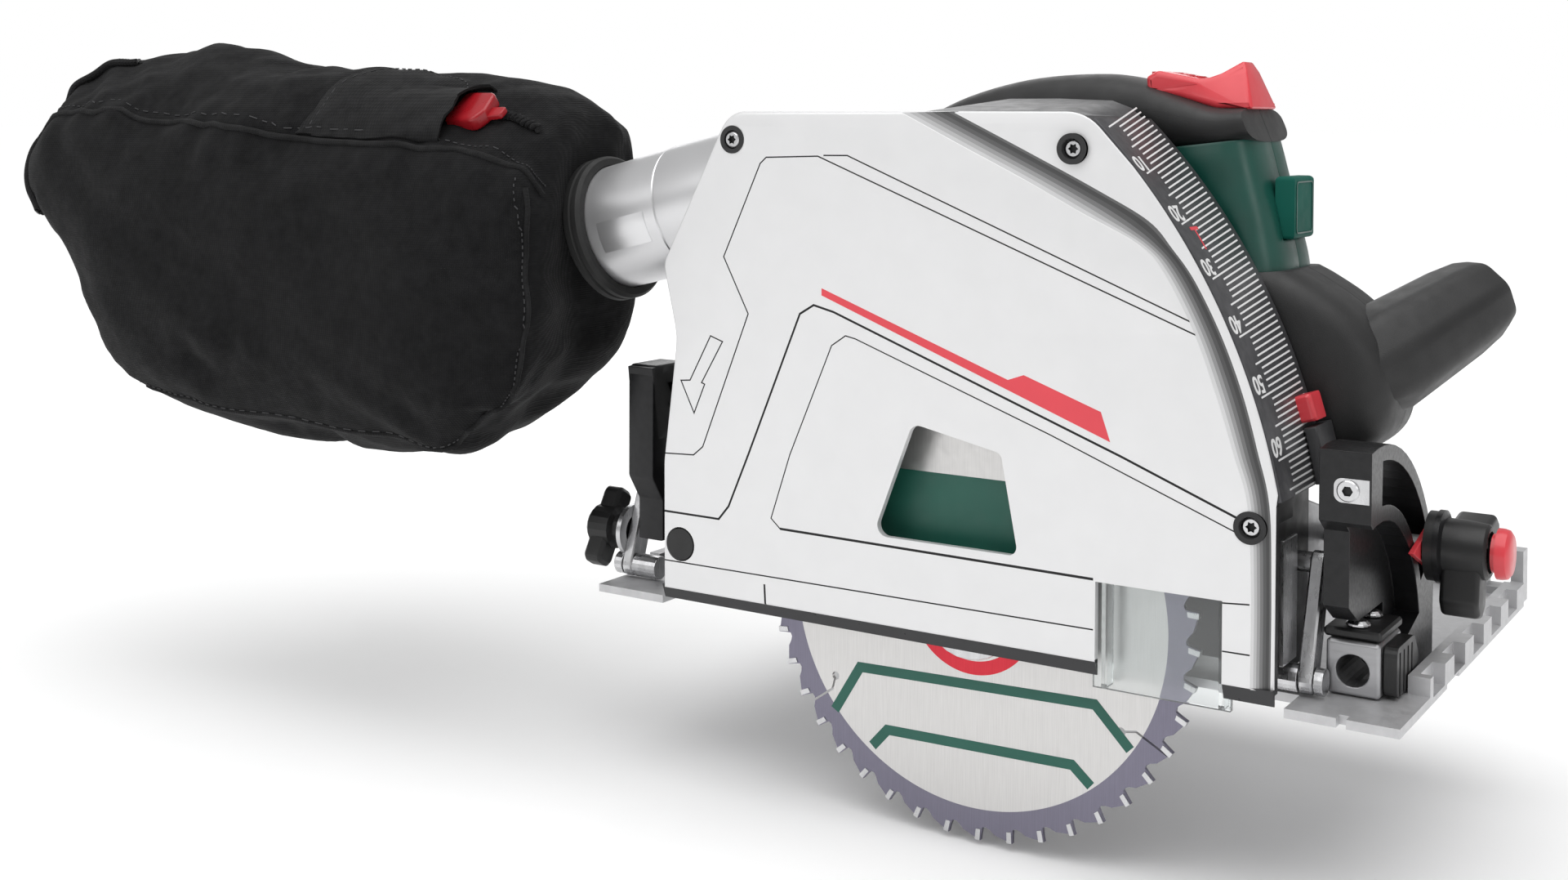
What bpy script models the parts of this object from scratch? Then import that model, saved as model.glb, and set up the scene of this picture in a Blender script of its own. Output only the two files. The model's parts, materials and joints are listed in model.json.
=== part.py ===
"""Corded track plunge saw, 165 mm blade, 66 mm cutting depth, built as separate pieces.

Lengths below are millimetres; MM turns them into metres when a mesh is made.
+X is the cutting direction, +Y the motor side, +Z up, z = 0 the sole.
The saw stands fully plunged and square, so every joint is at its rest value.
"""
import math

import bmesh
import bpy
from mathutils import Matrix, Vector

MM = 0.001
GAP = 0.3                      # running gap between neighbours

# Blade and drive line
BLADE_Y = -90.0                # middle plane of the blade
BLADE_R = 82.5
TEETH = 42
CUT_DEPTH = 66.0
SPINDLE = (0.0, BLADE_R - CUT_DEPTH)
PIVOT = (-116.0, 25.0)         # plunge pivot in X and Z
TILT = (-82.0, 8.0)            # tilt axis in Y and Z
MODULE_OUT, GEAR_OUT, PINION_OUT = 1.25, 18, 12
MODULE_IN, GEAR_IN, PINION_IN = 1.0, 27, 9

# Guard
COVER_Y = (-104.0, -101.3)
SHELL_Y = (-101.0, -66.0)
WALL = 3.0
GUARD_LOW, GUARD_TOP = 6.5, 190.0
GUARD_FRONT, GUARD_REAR = 110.0, -124.5
RIM_R = 231.0                  # depth scale radius about the plunge pivot
SCALE_ANGLES = (13.0, 43.5)
ARC_FOOT = 70.0                # height at which the guard's front turns straight down

# Base plate
BASE_X = (-158.0, 147.0)
BASE_Y = (-100.0, 97.0)
PLATE = 3.0
RIB_TOP = 9.0
BLADE_EDGE = -83.5             # edge of the sole beside the blade

# Motor unit
MOTOR_R = 42.0
MOTOR_Y = (-43.6, 48.0)
SEAM_Y = -20.0                 # clamshell seam of handle and housing
CASE_WALL = 4.0                # wall of handle and housing shells

# Tilt clamps
CLAMP_R, CLAMP_ANGLE = 65.0, 34.0
SEGMENT_X = (120.0, 136.0)
FENCE_BORE = (126.5, 11.5, 5.2)  # X, Z and radius of the parallel fence rod's hole

# Dust outlet
PORT = (-113.0, -75.4, 156.0)
PORT_TILT = 14.0
PORT_R = 25.0

BLACK = (0.018, 0.018, 0.019)
SILVER = (0.74, 0.74, 0.75)
STEEL = (0.55, 0.55, 0.56)
CHARCOAL = (0.07, 0.07, 0.075)
GREEN = (0.006, 0.07, 0.05)
RED = (0.62, 0.03, 0.05)


# ---------------------------------------------------------------- set-up
def clear_scene():
    for obj in list(bpy.data.objects):
        bpy.data.objects.remove(obj, do_unlink=True)


def new_collection(name):
    made = bpy.data.collections.new(name)
    bpy.context.scene.collection.children.link(made)
    return made


clear_scene()
PARTS = new_collection("track_plunge_saw")
CUTTERS = new_collection("cutters")


def paint(name, colour, roughness, metallic=0.0, alpha=1.0):
    material = bpy.data.materials.new(name)
    material.use_nodes = True
    shader = material.node_tree.nodes["Principled BSDF"]
    shader.inputs["Base Color"].default_value = (*colour, 1.0)
    shader.inputs["Roughness"].default_value = roughness
    shader.inputs["Metallic"].default_value = metallic
    shader.inputs["Alpha"].default_value = alpha
    material.diffuse_color = (*colour, alpha)
    return material


def joint_empty(name, place, parent=None):
    """Marks a moving body's joint; the body's pieces are its children."""
    empty = bpy.data.objects.new(name, None)
    PARTS.objects.link(empty)
    empty.location = Vector(place) * MM
    if parent:
        empty.parent = parent
        bpy.context.view_layer.update()
        empty.matrix_parent_inverse = parent.matrix_world.inverted()
    bpy.context.view_layer.update()
    return empty


def finish(obj, look, body=None):
    """Gives a piece its own material and hangs it on its body's empty."""
    obj.data.materials.clear()
    obj.data.materials.append(paint(obj.name, *look))
    if body:
        obj.parent = body
        obj.matrix_parent_inverse = body.matrix_world.inverted()
    return obj


# ---------------------------------------------------------------- solids
PLANES = {
    "XY": Matrix.Identity(4),
    "XZ": Matrix(((1, 0, 0, 0), (0, 0, -1, 0), (0, 1, 0, 0), (0, 0, 0, 1))),
    "YZ": Matrix(((0, 0, 1, 0), (1, 0, 0, 0), (0, 1, 0, 0), (0, 0, 0, 1))),
}


def add_mesh(name, mesh, cutter=False):
    obj = bpy.data.objects.new(name, mesh)
    (CUTTERS if cutter else PARTS).objects.link(obj)
    if cutter:
        obj.hide_render = True
        obj.display_type = "WIRE"
    return obj


def outline_solid(name, plane, points, low, high, rounding=0.0, holes=(), cutter=False):
    """Extrudes a closed outline between two levels of the plane's normal, edges rounded."""
    curve = bpy.data.curves.new(name, "CURVE")
    curve.dimensions = "2D"
    curve.fill_mode = "BOTH"
    curve.extrude = ((high - low) / 2 - rounding) * MM
    curve.bevel_depth = rounding * MM
    curve.bevel_resolution = 0
    curve.offset = -rounding * MM
    for loop in (points, *holes):
        spline = curve.splines.new("POLY")
        spline.points.add(len(loop) - 1)
        spline.use_cyclic_u = True
        for point, (u, v) in zip(spline.points, loop):
            point.co = (u * MM, v * MM, 0, 1)
    guide = bpy.data.objects.new(name + "_outline", curve)
    CUTTERS.objects.link(guide)
    bpy.context.view_layer.update()
    mesh = bpy.data.meshes.new_from_object(guide.evaluated_get(bpy.context.evaluated_depsgraph_get()))
    bpy.data.objects.remove(guide, do_unlink=True)
    middle = (low + high) / 2 * MM * (-1 if plane == "XZ" else 1)
    mesh.transform(PLANES[plane] @ Matrix.Translation((0, 0, middle)))
    tidy_mesh(mesh)
    return add_mesh(name, mesh, cutter)


def tidy_mesh(mesh):
    work = bmesh.new()
    work.from_mesh(mesh)
    bmesh.ops.remove_doubles(work, verts=work.verts, dist=1e-6)
    bmesh.ops.recalc_face_normals(work, faces=work.faces)
    work.to_mesh(mesh)
    work.free()


def box(name, low, high, rounding=0.0, cutter=False):
    work = bmesh.new()
    bmesh.ops.create_cube(work, size=1.0)
    size = [(b - a) * MM for a, b in zip(low, high)]
    centre = [(a + b) / 2 * MM for a, b in zip(low, high)]
    bmesh.ops.transform(work, verts=work.verts, matrix=Matrix.Diagonal((*size, 1)))
    bmesh.ops.translate(work, verts=work.verts, vec=centre)
    mesh = bpy.data.meshes.new(name)
    work.to_mesh(mesh)
    work.free()
    obj = add_mesh(name, mesh, cutter)
    if rounding:
        add_bevel(obj, rounding)
    return obj


def turned(name, profile, origin, axis, steps=32, closed=False, cutter=False):
    """Turns (radius, height) pairs, listed top to bottom, about an axis through origin."""
    mesh = bpy.data.meshes.new(name)
    count = len(profile)
    edges = [(i, i + 1) for i in range(count - 1)] + ([(count - 1, 0)] if closed else [])
    mesh.from_pydata([(r * MM, 0, h * MM) for r, h in profile], edges, [])
    obj = add_mesh(name, mesh, cutter)
    screw = obj.modifiers.new("turn", "SCREW")
    screw.steps = steps
    screw.render_steps = steps
    screw.use_merge_vertices = True
    screw.merge_threshold = 0.00001
    screw.use_smooth_shade = True
    spin = Vector(axis).to_track_quat("Z", "Y").to_matrix().to_4x4()
    obj.matrix_world = Matrix.Translation(Vector(origin) * MM) @ spin
    bpy.context.view_layer.update()
    return obj


def cylinder(name, start, axis, radius, length, steps=32, cutter=False):
    profile = [(0, length), (radius, length), (radius, 0), (0, 0)]
    return turned(name, profile, start, axis, steps, cutter=cutter)


def ring(name, start, axis, outer, inner, length, steps=32, cutter=False):
    profile = [(inner, length), (outer, length), (outer, 0), (inner, 0)]
    return turned(name, profile, start, axis, steps, closed=True, cutter=cutter)


def add_bevel(obj, width, segments=1, angle=40):
    bevel = obj.modifiers.new("edges", "BEVEL")
    bevel.width = width * MM
    bevel.segments = segments
    bevel.limit_method = "ANGLE"
    bevel.angle_limit = math.radians(angle)
    return obj


def combine(obj, operation, *others):
    for other in others:
        step = obj.modifiers.new(operation.lower(), "BOOLEAN")
        step.operation = operation
        step.solver = "EXACT"
        step.object = other
    return obj


def cut(obj, *cutters):
    return combine(obj, "DIFFERENCE", *cutters)


def join(obj, *others):
    return combine(obj, "UNION", *others)


# ---------------------------------------------------------------- outlines
def polar(centre, radius, degrees):
    turn = math.radians(degrees)
    return centre[0] + radius * math.cos(turn), centre[1] + radius * math.sin(turn)


def arc(centre, radius, start, stop, count):
    return [polar(centre, radius, start + (stop - start) * i / count) for i in range(count + 1)]


def sector(centre, inner, outer, start, stop, count=12):
    return arc(centre, outer, start, stop, count) + arc(centre, inner, stop, start, count)


def rounded(corners, step=24):
    """Replaces each (u, v, radius) corner by an arc; a corner of radius 0 stays sharp."""
    points = []
    count = len(corners)
    for i, (u, v, radius) in enumerate(corners):
        here = Vector((u, v))
        before = (Vector(corners[i - 1][:2]) - here).normalized()
        after = (Vector(corners[(i + 1) % count][:2]) - here).normalized()
        half = before.angle(after) / 2
        if radius == 0 or half > math.radians(88):
            points.append((u, v))
            continue
        middle = here + (before + after).normalized() * radius / math.sin(half)
        start = here + before * radius / math.tan(half) - middle
        stop = here + after * radius / math.tan(half) - middle
        swing = start.angle_signed(stop)
        pieces = max(2, round(abs(math.degrees(swing)) / step))
        for k in range(pieces + 1):
            turn = Matrix.Rotation(-swing * k / pieces, 2)
            points.append(tuple(middle + turn @ start))
    return points


def circle(centre, radius, count=20):
    return arc(centre, radius, 0, 360 * (count - 1) / count, count - 1)


def gear_outline(centre, module, teeth, phase):
    """Short trapezoid teeth with backlash, so neighbours stay clear while they turn."""
    pitch_r = module * teeth / 2
    tooth = 360 / teeth
    points = []
    for i in range(teeth):
        middle = phase + i * tooth
        for radius, share in ((pitch_r - 1.1 * module, -0.27), (pitch_r + 0.7 * module, -0.1),
                              (pitch_r + 0.7 * module, 0.1), (pitch_r - 1.1 * module, 0.27)):
            points.append(polar(centre, radius, middle + share * tooth))
    return points


# ---------------------------------------------------------------- bodies
GUARD = joint_empty("guard_tilt", (0, *TILT))
MOTOR_UNIT = joint_empty("motor_unit_plunge", (PIVOT[0], SEAM_Y, PIVOT[1]), GUARD)
BLADE_BODY = joint_empty("spindle_turn", (SPINDLE[0], BLADE_Y, SPINDLE[1]), MOTOR_UNIT)

LAY_ANGLE, MOTOR_ANGLE = 110.0, 85.0
LAYSHAFT = polar(SPINDLE, MODULE_OUT * (GEAR_OUT + PINION_OUT) / 2, LAY_ANGLE)
MOTOR = polar(LAYSHAFT, MODULE_IN * (GEAR_IN + PINION_IN) / 2, MOTOR_ANGLE)
LAY_BODY = joint_empty("layshaft_turn", (LAYSHAFT[0], -50, LAYSHAFT[1]), MOTOR_UNIT)
ROTOR_BODY = joint_empty("rotor_turn", (MOTOR[0], 0, MOTOR[1]), MOTOR_UNIT)
CLAMP = polar(TILT, CLAMP_R, CLAMP_ANGLE)
PORT_AXIS = Vector((-math.cos(math.radians(PORT_TILT)), 0, -math.sin(math.radians(PORT_TILT))))


def port_point(distance):
    return Vector(PORT) + PORT_AXIS * distance


# ---------------------------------------------------------------- base
def make_base_plate():
    rear, front = BASE_X
    near, far = BASE_Y
    blade_gap = [(-127, near), (-127, BLADE_EDGE), (-21, BLADE_EDGE), (-21, -41), (21, -41), (21, BLADE_EDGE),
                 (112, BLADE_EDGE), (112, near)]
    rod_notch = [(128, near), (128, near + 4), (131, near + 4), (131, near)]
    far_edge = [(front, far - 10), (front - 4, far), (rear + 6, far), (rear, far - 6)]
    outline = [(rear, near), *blade_gap, *rod_notch, (front, near), *far_edge]
    plate = outline_solid("base_plate", "XY", outline, 0, RIB_TOP)
    top = RIB_TOP + 1
    floor = [box("pocket_main", (rear + 5, near - 1, PLATE), (front - 7, far - 5, top), cutter=True)]
    floor.append(box("pocket_front", (front - 8, near - 1, PLATE), (front + 1, -62, top), cutter=True))
    floor.append(box("pocket_rear", (rear - 1, near - 1, PLATE), (rear + 6, -66, top), cutter=True))
    floor.append(box("rail_groove", (rear - 1, -39, -1), (front + 1, -22, 1.4), cutter=True))
    for i, y in enumerate((-50, -21, 8, 37, 66)):
        floor.append(box(f"front_pocket_{i}", (front - 4, y - 8, 2), (front + 1, y + 8, top), cutter=True))
    cut(plate, *floor)
    lug = box("lug", (128, 88, 1), (front - 0.5, 96, 21), cutter=True)
    window = box("lug_window", (133, 86, 6), (142, 98, 16), cutter=True)
    join(plate, lug)
    cut(plate, window)
    return finish(plate, (SILVER, 0.45, 0.6))


def segment_outline(outer, has_web):
    """Arc band round the tilt axis with a block at its upper end and a foot on the base plate."""
    top = arc(TILT, outer, 22, 98, 14)
    near = top[-1][0]
    web = [(near, 62), (-87, 58), (-87, 34), (-76, 27.5)] if has_web else arc(TILT, CLAMP_R - 12, 98, 50, 8)
    return top + web + [(-46, 27.5), (-46, PLATE + GAP), (-12, PLATE + GAP), (-12, 20)]


def make_bevel_segment(name, x_range, outer, has_web):
    low, high = x_range
    segment = outline_solid(name, "YZ", segment_outline(outer, has_web), low, high)
    shape = sector(TILT, CLAMP_R - 7, CLAMP_R + 7, 25, 88)
    slot = outline_solid(name + "_slot", "YZ", shape, low - 1, high + 1, cutter=True)
    return cut(segment, slot)


def fence_bore():
    """Cutter for the fence rod's hole, through the clamp block and the segment's foot."""
    x, z, radius = FENCE_BORE
    return cylinder("fence_bore", (x, -90, z), (0, 1, 0), radius, 90, 24, cutter=True)


def make_bevel_segments():
    front = make_bevel_segment("front_bevel_segment", SEGMENT_X, 77, True)
    shape = sector(TILT, 0.5, CLAMP_R - 12, 15, 110)
    recess = outline_solid("segment_recess", "YZ", shape, SEGMENT_X[1] - 8, SEGMENT_X[1] + 1, cutter=True)
    cut(front, recess, fence_bore())
    finish(front, (BLACK, 0.5))
    rear = make_bevel_segment("rear_bevel_segment", (-149, -137), 82, False)
    finish(rear, (BLACK, 0.5))


def barrel_profile(head_end, eye, body_end):
    """Hinge barrel, thin pin through the arm's eye, and screw head, along +Z."""
    return [(0, head_end), (4.4, head_end), (4.4, eye[1] + GAP), (2.4, eye[1] + GAP), (2.4, eye[0] - GAP),
            (4.6, eye[0] - GAP), (4.6, body_end), (0, body_end)]


FRONT_EYE = (112.0, 116.6)
REAR_EYE = (152.4, 157.0)


def make_barrels():
    front = turned("front_hinge_barrel", barrel_profile(119.8, FRONT_EYE, 103.6), (0, *TILT), (1, 0, 0), 20)
    finish(front, (STEEL, 0.3, 1.0))
    rear = turned("rear_hinge_barrel", barrel_profile(161, REAR_EYE, 141), (0, *TILT), (-1, 0, 0), 20)
    finish(rear, (STEEL, 0.3, 1.0))


FENCE_SCREWS = (-70.0, -55.0)


def make_fence_clamp():
    block = box("fence_clamp_block", (118, -76.5, PLATE + GAP), (135, -50, 21), 1.0)
    finish(cut(block, fence_bore()), (STEEL, 0.5, 0.9))
    cap = box("fence_clamp_cap", (117, -75.5, 21.3), (135.1, -49, 24.5), 0.8)
    holes = [cylinder(f"cap_hole_{i}", (FENCE_BORE[0], y, 20), (0, 0, 1), 2.4, 10, 12, cutter=True)
             for i, y in enumerate(FENCE_SCREWS)]
    finish(cut(cap, *holes), (BLACK, 0.45))
    for i, y in enumerate(FENCE_SCREWS):
        profile = [(0, 26.6), (2.6, 26.6), (3.8, 25.6), (3.8, 24.8), (2.1, 24.8), (2.1, 21.5), (0, 21.5)]
        screw = turned(f"fence_screw_{i + 1}", profile, (FENCE_BORE[0], y, 0), (0, 0, 1), 14)
        finish(screw, (STEEL, 0.25, 1.0))
    body = joint_empty("fence_lever_turn", (139.0, -50, FENCE_BORE[1]))
    shape = rounded([(-74, 4, 3), (-50, 4, 4), (-46, 12, 4), (-52, 20, 4), (-74, 20, 3)])
    lever = outline_solid("fence_lever", "YZ", shape, 135.4, 139.6)
    for i in range(4):
        groove = -71 + 5 * i
        cut(lever, box(f"lever_groove_{i}", (138.6, groove, 3), (141, groove + 1.6, 18), cutter=True))
    finish(lever, (BLACK, 0.45), body)


# ---------------------------------------------------------------- guard
def guard_outline(shrink=0.0, rim=RIM_R, front=GUARD_FRONT):
    """Side outline of the guard, from the rear foot over the dust channel to the scale arc."""
    foot = GUARD_REAR + shrink
    rear = [(foot, GUARD_LOW, 0), (foot - 0.3, 56, 30), (-119 + shrink, 104, 24),
            (-125.4 + shrink, 131 + shrink / 2, 8), (-96 + shrink, GUARD_TOP - shrink, 12)]
    corner = math.degrees(math.asin((GUARD_TOP - shrink - PIVOT[1]) / rim))
    arc_start = polar(PIVOT, rim, corner - 6)
    arc_stop = math.degrees(math.asin((ARC_FOOT - PIVOT[1]) / rim))
    first = rounded(rear + [(*polar(PIVOT, rim, corner), 16), (*arc_start, 0)])[:-1]
    sweep = arc(PIVOT, rim, corner - 6, arc_stop, 14)
    return first + sweep + [(front, ARC_FOOT - 4), (front, GUARD_LOW)]


def make_guard_shell():
    low, high = SHELL_Y
    outer = guard_outline(0.6, RIM_R - 2, 103.0)
    inner = guard_outline(0.6 + WALL, RIM_R - 2 - WALL, 103.0 - WALL)
    inner[0] = (inner[0][0], GUARD_LOW - 5)
    inner[-1] = (inner[-1][0], GUARD_LOW - 5)
    shell = outline_solid("guard_shell", "XZ", outer, low, high)
    start, boss_end = port_point(-28), port_point(18.3)
    boss = cylinder("port_boss", start, PORT_AXIS, PORT_R, (boss_end - start).length, 32, cutter=True)
    join(shell, boss)
    cavity = outline_solid("guard_cavity", "XZ", inner, low - 1, high - WALL, cutter=True)
    duct = cylinder("port_duct", port_point(-45), PORT_AXIS, PORT_R - WALL, 80, 28, cutter=True)
    reach = math.dist(PIVOT, SPINDLE)
    start_angle = math.degrees(math.atan2(SPINDLE[1] - PIVOT[1], SPINDLE[0] - PIVOT[0]))
    sweep = sector(PIVOT, reach - 17, reach + 17, start_angle, start_angle + 35, 8)
    slot = outline_solid("plunge_slot", "XZ", sweep, high - WALL - 2, high + 2, cutter=True)
    ends = []
    for i, swing in enumerate((0, 35)):
        x, z = polar(PIVOT, reach, start_angle + swing)
        ends.append(cylinder(f"slot_end_{i}", (x, high - WALL - 2, z), (0, 1, 0), 17, 8, 20, cutter=True))
    bore = cylinder("pivot_bore", (PIVOT[0], low - 2, PIVOT[1]), (0, 1, 0), 5.3, 60, 24, cutter=True)
    cut(shell, cavity, duct, slot, *ends, bore)
    return finish(shell, (CHARCOAL, 0.5, 0.3), GUARD)


COVER_SCREWS = ((-93.0, 179.0), (41.5, 177.0), (102.0, 59.0))


def make_guard_cover():
    low, high = COVER_Y
    window = rounded([(-17, 80.5, 4), (-32.5, 39.3, 4), (23.4, 39.3, 3), (16.8, 73.5, 3)])
    slot = [(51, GUARD_LOW - 1), (51, 34.8), (93.5, 34.8), (93.5, GUARD_LOW - 1)]
    cover = outline_solid("guard_cover", "XZ", guard_outline(), low, high, 1.0)
    cutters = [outline_solid("cover_window", "XZ", window, low - 1, high + 1, cutter=True),
               outline_solid("cover_slot", "XZ", slot, low - 1, high + 1, cutter=True)]
    cutters += [cylinder(f"cover_hole_{i}", (x, low - 1, z), (0, 1, 0), 5.0, 6, 24, cutter=True)
                for i, (x, z) in enumerate(COVER_SCREWS)]
    pivot_hole = cylinder("cover_pivot_hole", (PIVOT[0], low - 1, PIVOT[1]), (0, 1, 0), 6.4, 6, 24, cutter=True)
    cut(cover, *cutters, pivot_hole)
    finish(cover, (SILVER, 0.35, 0.5), GUARD)
    for i, (x, z) in enumerate(COVER_SCREWS):
        profile = [(0, 0), (4.4, 0), (4.4, -2.0), (0, -2.0)]
        screw = turned(f"cover_screw_{i + 1}", profile, (x, low + 0.6, z), (0, -1, 0), 20)
        finish(screw, (STEEL, 0.3, 1.0), GUARD)


def make_depth_scale():
    start, stop = SCALE_ANGLES
    band = outline_solid("depth_scale", "XZ", sector(PIVOT, RIM_R - 1.7, RIM_R, start, stop, 16), *SHELL_Y)
    finish(band, (CHARCOAL, 0.4), GUARD)


def make_hinge_arms():
    """Arms that carry the guard and turn about the barrels' pins."""
    top = (-70.0, 43.0)
    for name, eye, sign in (("front_hinge_arm", FRONT_EYE, 1), ("rear_hinge_arm", REAR_EYE, -1)):
        low, high = sorted((sign * eye[0], sign * eye[1]))
        lean = math.degrees(math.atan2(top[1] - TILT[1], top[0] - TILT[0]))
        shape = arc(TILT, 4.6, lean + 90, lean + 270, 10) + arc(top, 4.2, lean - 90, lean + 90, 8)
        arm = outline_solid(name, "YZ", shape, low, high, 0.6)
        cut(arm, cylinder(name + "_bore", (low - 1, *TILT), (1, 0, 0), 2.75, 8, 20, cutter=True))
        stub = (104.6 if sign > 0 else -GUARD_REAR + 1.0)
        length = eye[0] + 2 - stub
        join(arm, cylinder(name + "_stub", (sign * stub, *top), (sign, 0, 0), 3.4, length, 20, cutter=True))
        finish(arm, (STEEL, 0.35, 1.0), GUARD)


def make_clamp_bracket():
    """Arm from the guard to the front clamp bolt, which runs through the segment's slot."""
    shape = rounded([(-65.6, 16, 2), (-52, 20, 6), (-22, 36, 8), (-20, 52, 8), (-34, 55, 8), (-65.6, 64, 2)])
    bracket = outline_solid("front_clamp_bracket", "YZ", shape, 98, 104, 0.8)
    join(bracket, cylinder("clamp_bolt", (100, *CLAMP), (1, 0, 0), 3.0, 50, 20, cutter=True))
    finish(bracket, (STEEL, 0.4, 1.0), GUARD)
    tip = polar(TILT, CLAMP_R - 15, CLAMP_ANGLE + 14)
    shape = arc(CLAMP, 7, -120, 60, 10) + [tip]
    pointer = outline_solid("bevel_pointer", "YZ", shape, SEGMENT_X[1] + GAP, SEGMENT_X[1] + 2.2,
                            holes=(circle(CLAMP, 3.3),))
    finish(pointer, (RED, 0.4), GUARD)


def knob_wings(name, centre, x_range, reach, width, angle, tail=None):
    """Grip across a clamp knob, as one bar turned to its angle; tail is how far it goes the other way."""
    half = width / 2
    back = reach if tail is None else tail
    bar = rounded([(-back, -half, 3), (reach, -half, 3), (reach, half, 3), (-back, half, 3)])
    turn = Matrix.Rotation(math.radians(angle), 2)
    shape = [tuple(Vector(centre) + turn @ Vector(point)) for point in bar]
    return outline_solid(name, "YZ", shape, *x_range, 1.5, cutter=True)


def make_front_knob():
    body = joint_empty("front_knob_turn", (150, *CLAMP), GUARD)
    start = SEGMENT_X[1] + 2.6
    profile = [(0, 157.8), (8.4, 157.8), (9.6, 156.8), (9.6, 143), (11.5, 142), (11.5, start), (0, start)]
    knob = turned("front_clamp_knob", profile, (0, *CLAMP), (1, 0, 0), 24)
    join(knob, knob_wings("far_wing", CLAMP, (143.5, 156), 24, 13, 8, 3),
         knob_wings("lower_wing", CLAMP, (143.5, 156), 22, 13, -102, 3))
    cut(knob, cylinder("knob_bore", (start - 1, *CLAMP), (1, 0, 0), 3.3, 12.6, 14, cutter=True),
        cylinder("button_well", (155.0, *CLAMP), (1, 0, 0), 6.9, 10, 20, cutter=True))
    finish(knob, (BLACK, 0.45), body)
    push = joint_empty("undercut_push", (160, *CLAMP), body)
    profile = [(0, 164.5), (7.4, 164.5), (8.4, 163.5), (8.4, 160.0), (6.5, 160.0), (6.5, 158.6), (0, 158.6)]
    finish(turned("undercut_button", profile, (0, *CLAMP), (1, 0, 0), 20), (RED, 0.35), push)


REAR_KNOB = (-78.0, 20.5)


def make_rear_knob():
    body = joint_empty("rear_knob_turn", (-168, *REAR_KNOB), GUARD)
    profile = [(0, 176), (7, 176), (8.5, 174.5), (8.5, 165), (6, 164), (6, 157.6), (0, 157.6)]
    knob = turned("rear_clamp_knob", profile, (0, *REAR_KNOB), (-1, 0, 0), 20)
    join(knob, knob_wings("rear_wings", REAR_KNOB, (-175, -166), 16, 10, 60))
    finish(knob, (BLACK, 0.45), body)


def make_depth_stop():
    body = joint_empty("depth_stop_slide", (PIVOT[0], -60, PIVOT[1]), GUARD)
    slide = outline_solid("depth_stop", "XZ", sector(PIVOT, RIM_R + GAP, RIM_R + 3.6, 10.6, 15.2, 4), -84, -48)
    shape = sector(PIVOT, RIM_R - 9, RIM_R + 3.6, 10.6, 15.2, 4)
    tab = outline_solid("stop_tab", "XZ", shape, -65.6, -55, cutter=True)
    join(slide, tab)
    finish(slide, (CHARCOAL, 0.5), body)
    x, z = polar(PIVOT, RIM_R + 5, 16.7)
    push = joint_empty("depth_button_push", (x, -59.2, z), body)
    shape = sector(PIVOT, RIM_R - 3, RIM_R + 5, 15.6, 17.8, 3)
    button = outline_solid("depth_stop_button", "XZ", shape, -65.4, -53, 0.8)
    finish(button, (RED, 0.4), push)


def make_pivot():
    profile = [(0, 104.2), (6.0, 104.2), (6.0, 101.6), (5.0, 101.6), (5.0, 30), (0, 30)]
    pin = turned("plunge_pivot", profile, (PIVOT[0], 0, PIVOT[1]), (0, -1, 0), 28)
    finish(pin, (BLACK, 0.4, 0.5), GUARD)
    spring = ring("return_spring", (PIVOT[0], -49.6, PIVOT[1]), (0, 1, 0), 9, 5.6, 12, 16)
    finish(spring, (STEEL, 0.4, 1.0), GUARD)


def make_chip_guard():
    body = joint_empty("chip_guard_slide", (72, -100, 30), GUARD)
    shape = [(49, -100.9), (95.5, -100.9), (95.5, -98.6), (93, -98.6), (93, -93), (91, -93), (91, -98.6),
             (53.5, -98.6), (53.5, -93), (51.5, -93), (51.5, -98.6), (49, -98.6)]
    finish(outline_solid("chip_guard", "XY", shape, -1.2, 52), ((0.85, 0.87, 0.88), 0.1, 0.0, 0.35), body)


# ---------------------------------------------------------------- dust outlet and bag
def make_dust_port():
    body = joint_empty("dust_port_turn", port_point(40), GUARD)
    length = 43.0
    tube = ring("dust_port", port_point(18.7), PORT_AXIS, PORT_R, PORT_R - 2, length, 32)
    finish(tube, (SILVER, 0.3, 0.9), body)
    bag_body = joint_empty("bag_pull", port_point(60), body)
    collar = ring("bag_collar", port_point(53.5), PORT_AXIS, PORT_R + 4, PORT_R + 0.6, 8, 32)
    finish(collar, (BLACK, 0.6), bag_body)
    finish(make_bag_solid(), (BLACK, 0.95), bag_body)
    clip = box("bag_clip", (-226, -122, 196), (-206, -114, 203), 1.5)
    finish(clip, (RED, 0.5), bag_body)


BAG_X = (-486.0, -179.0)
BAG_Y = (-140.0, -28.0)
BAG_Z = (48.0, 212.0)


def bag_shape(u, v, w):
    """Maps a cube corner from -1..1 to the bag: lower and arched towards the motor side."""
    x = (BAG_X[0] + BAG_X[1]) / 2 + u * (BAG_X[1] - BAG_X[0]) / 2
    y = (BAG_Y[0] + BAG_Y[1]) / 2 + v * (BAG_Y[1] - BAG_Y[0]) / 2
    z = (BAG_Z[0] + BAG_Z[1]) / 2 + w * (BAG_Z[1] - BAG_Z[0]) / 2
    top = max(w, 0) * (10 * v - 12 * u)
    bottom = max(-w, 0) * 14 * abs(u) ** 3
    return Vector((x + 6 * w * min(u, 0), y, z + top + bottom)) * MM


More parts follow.
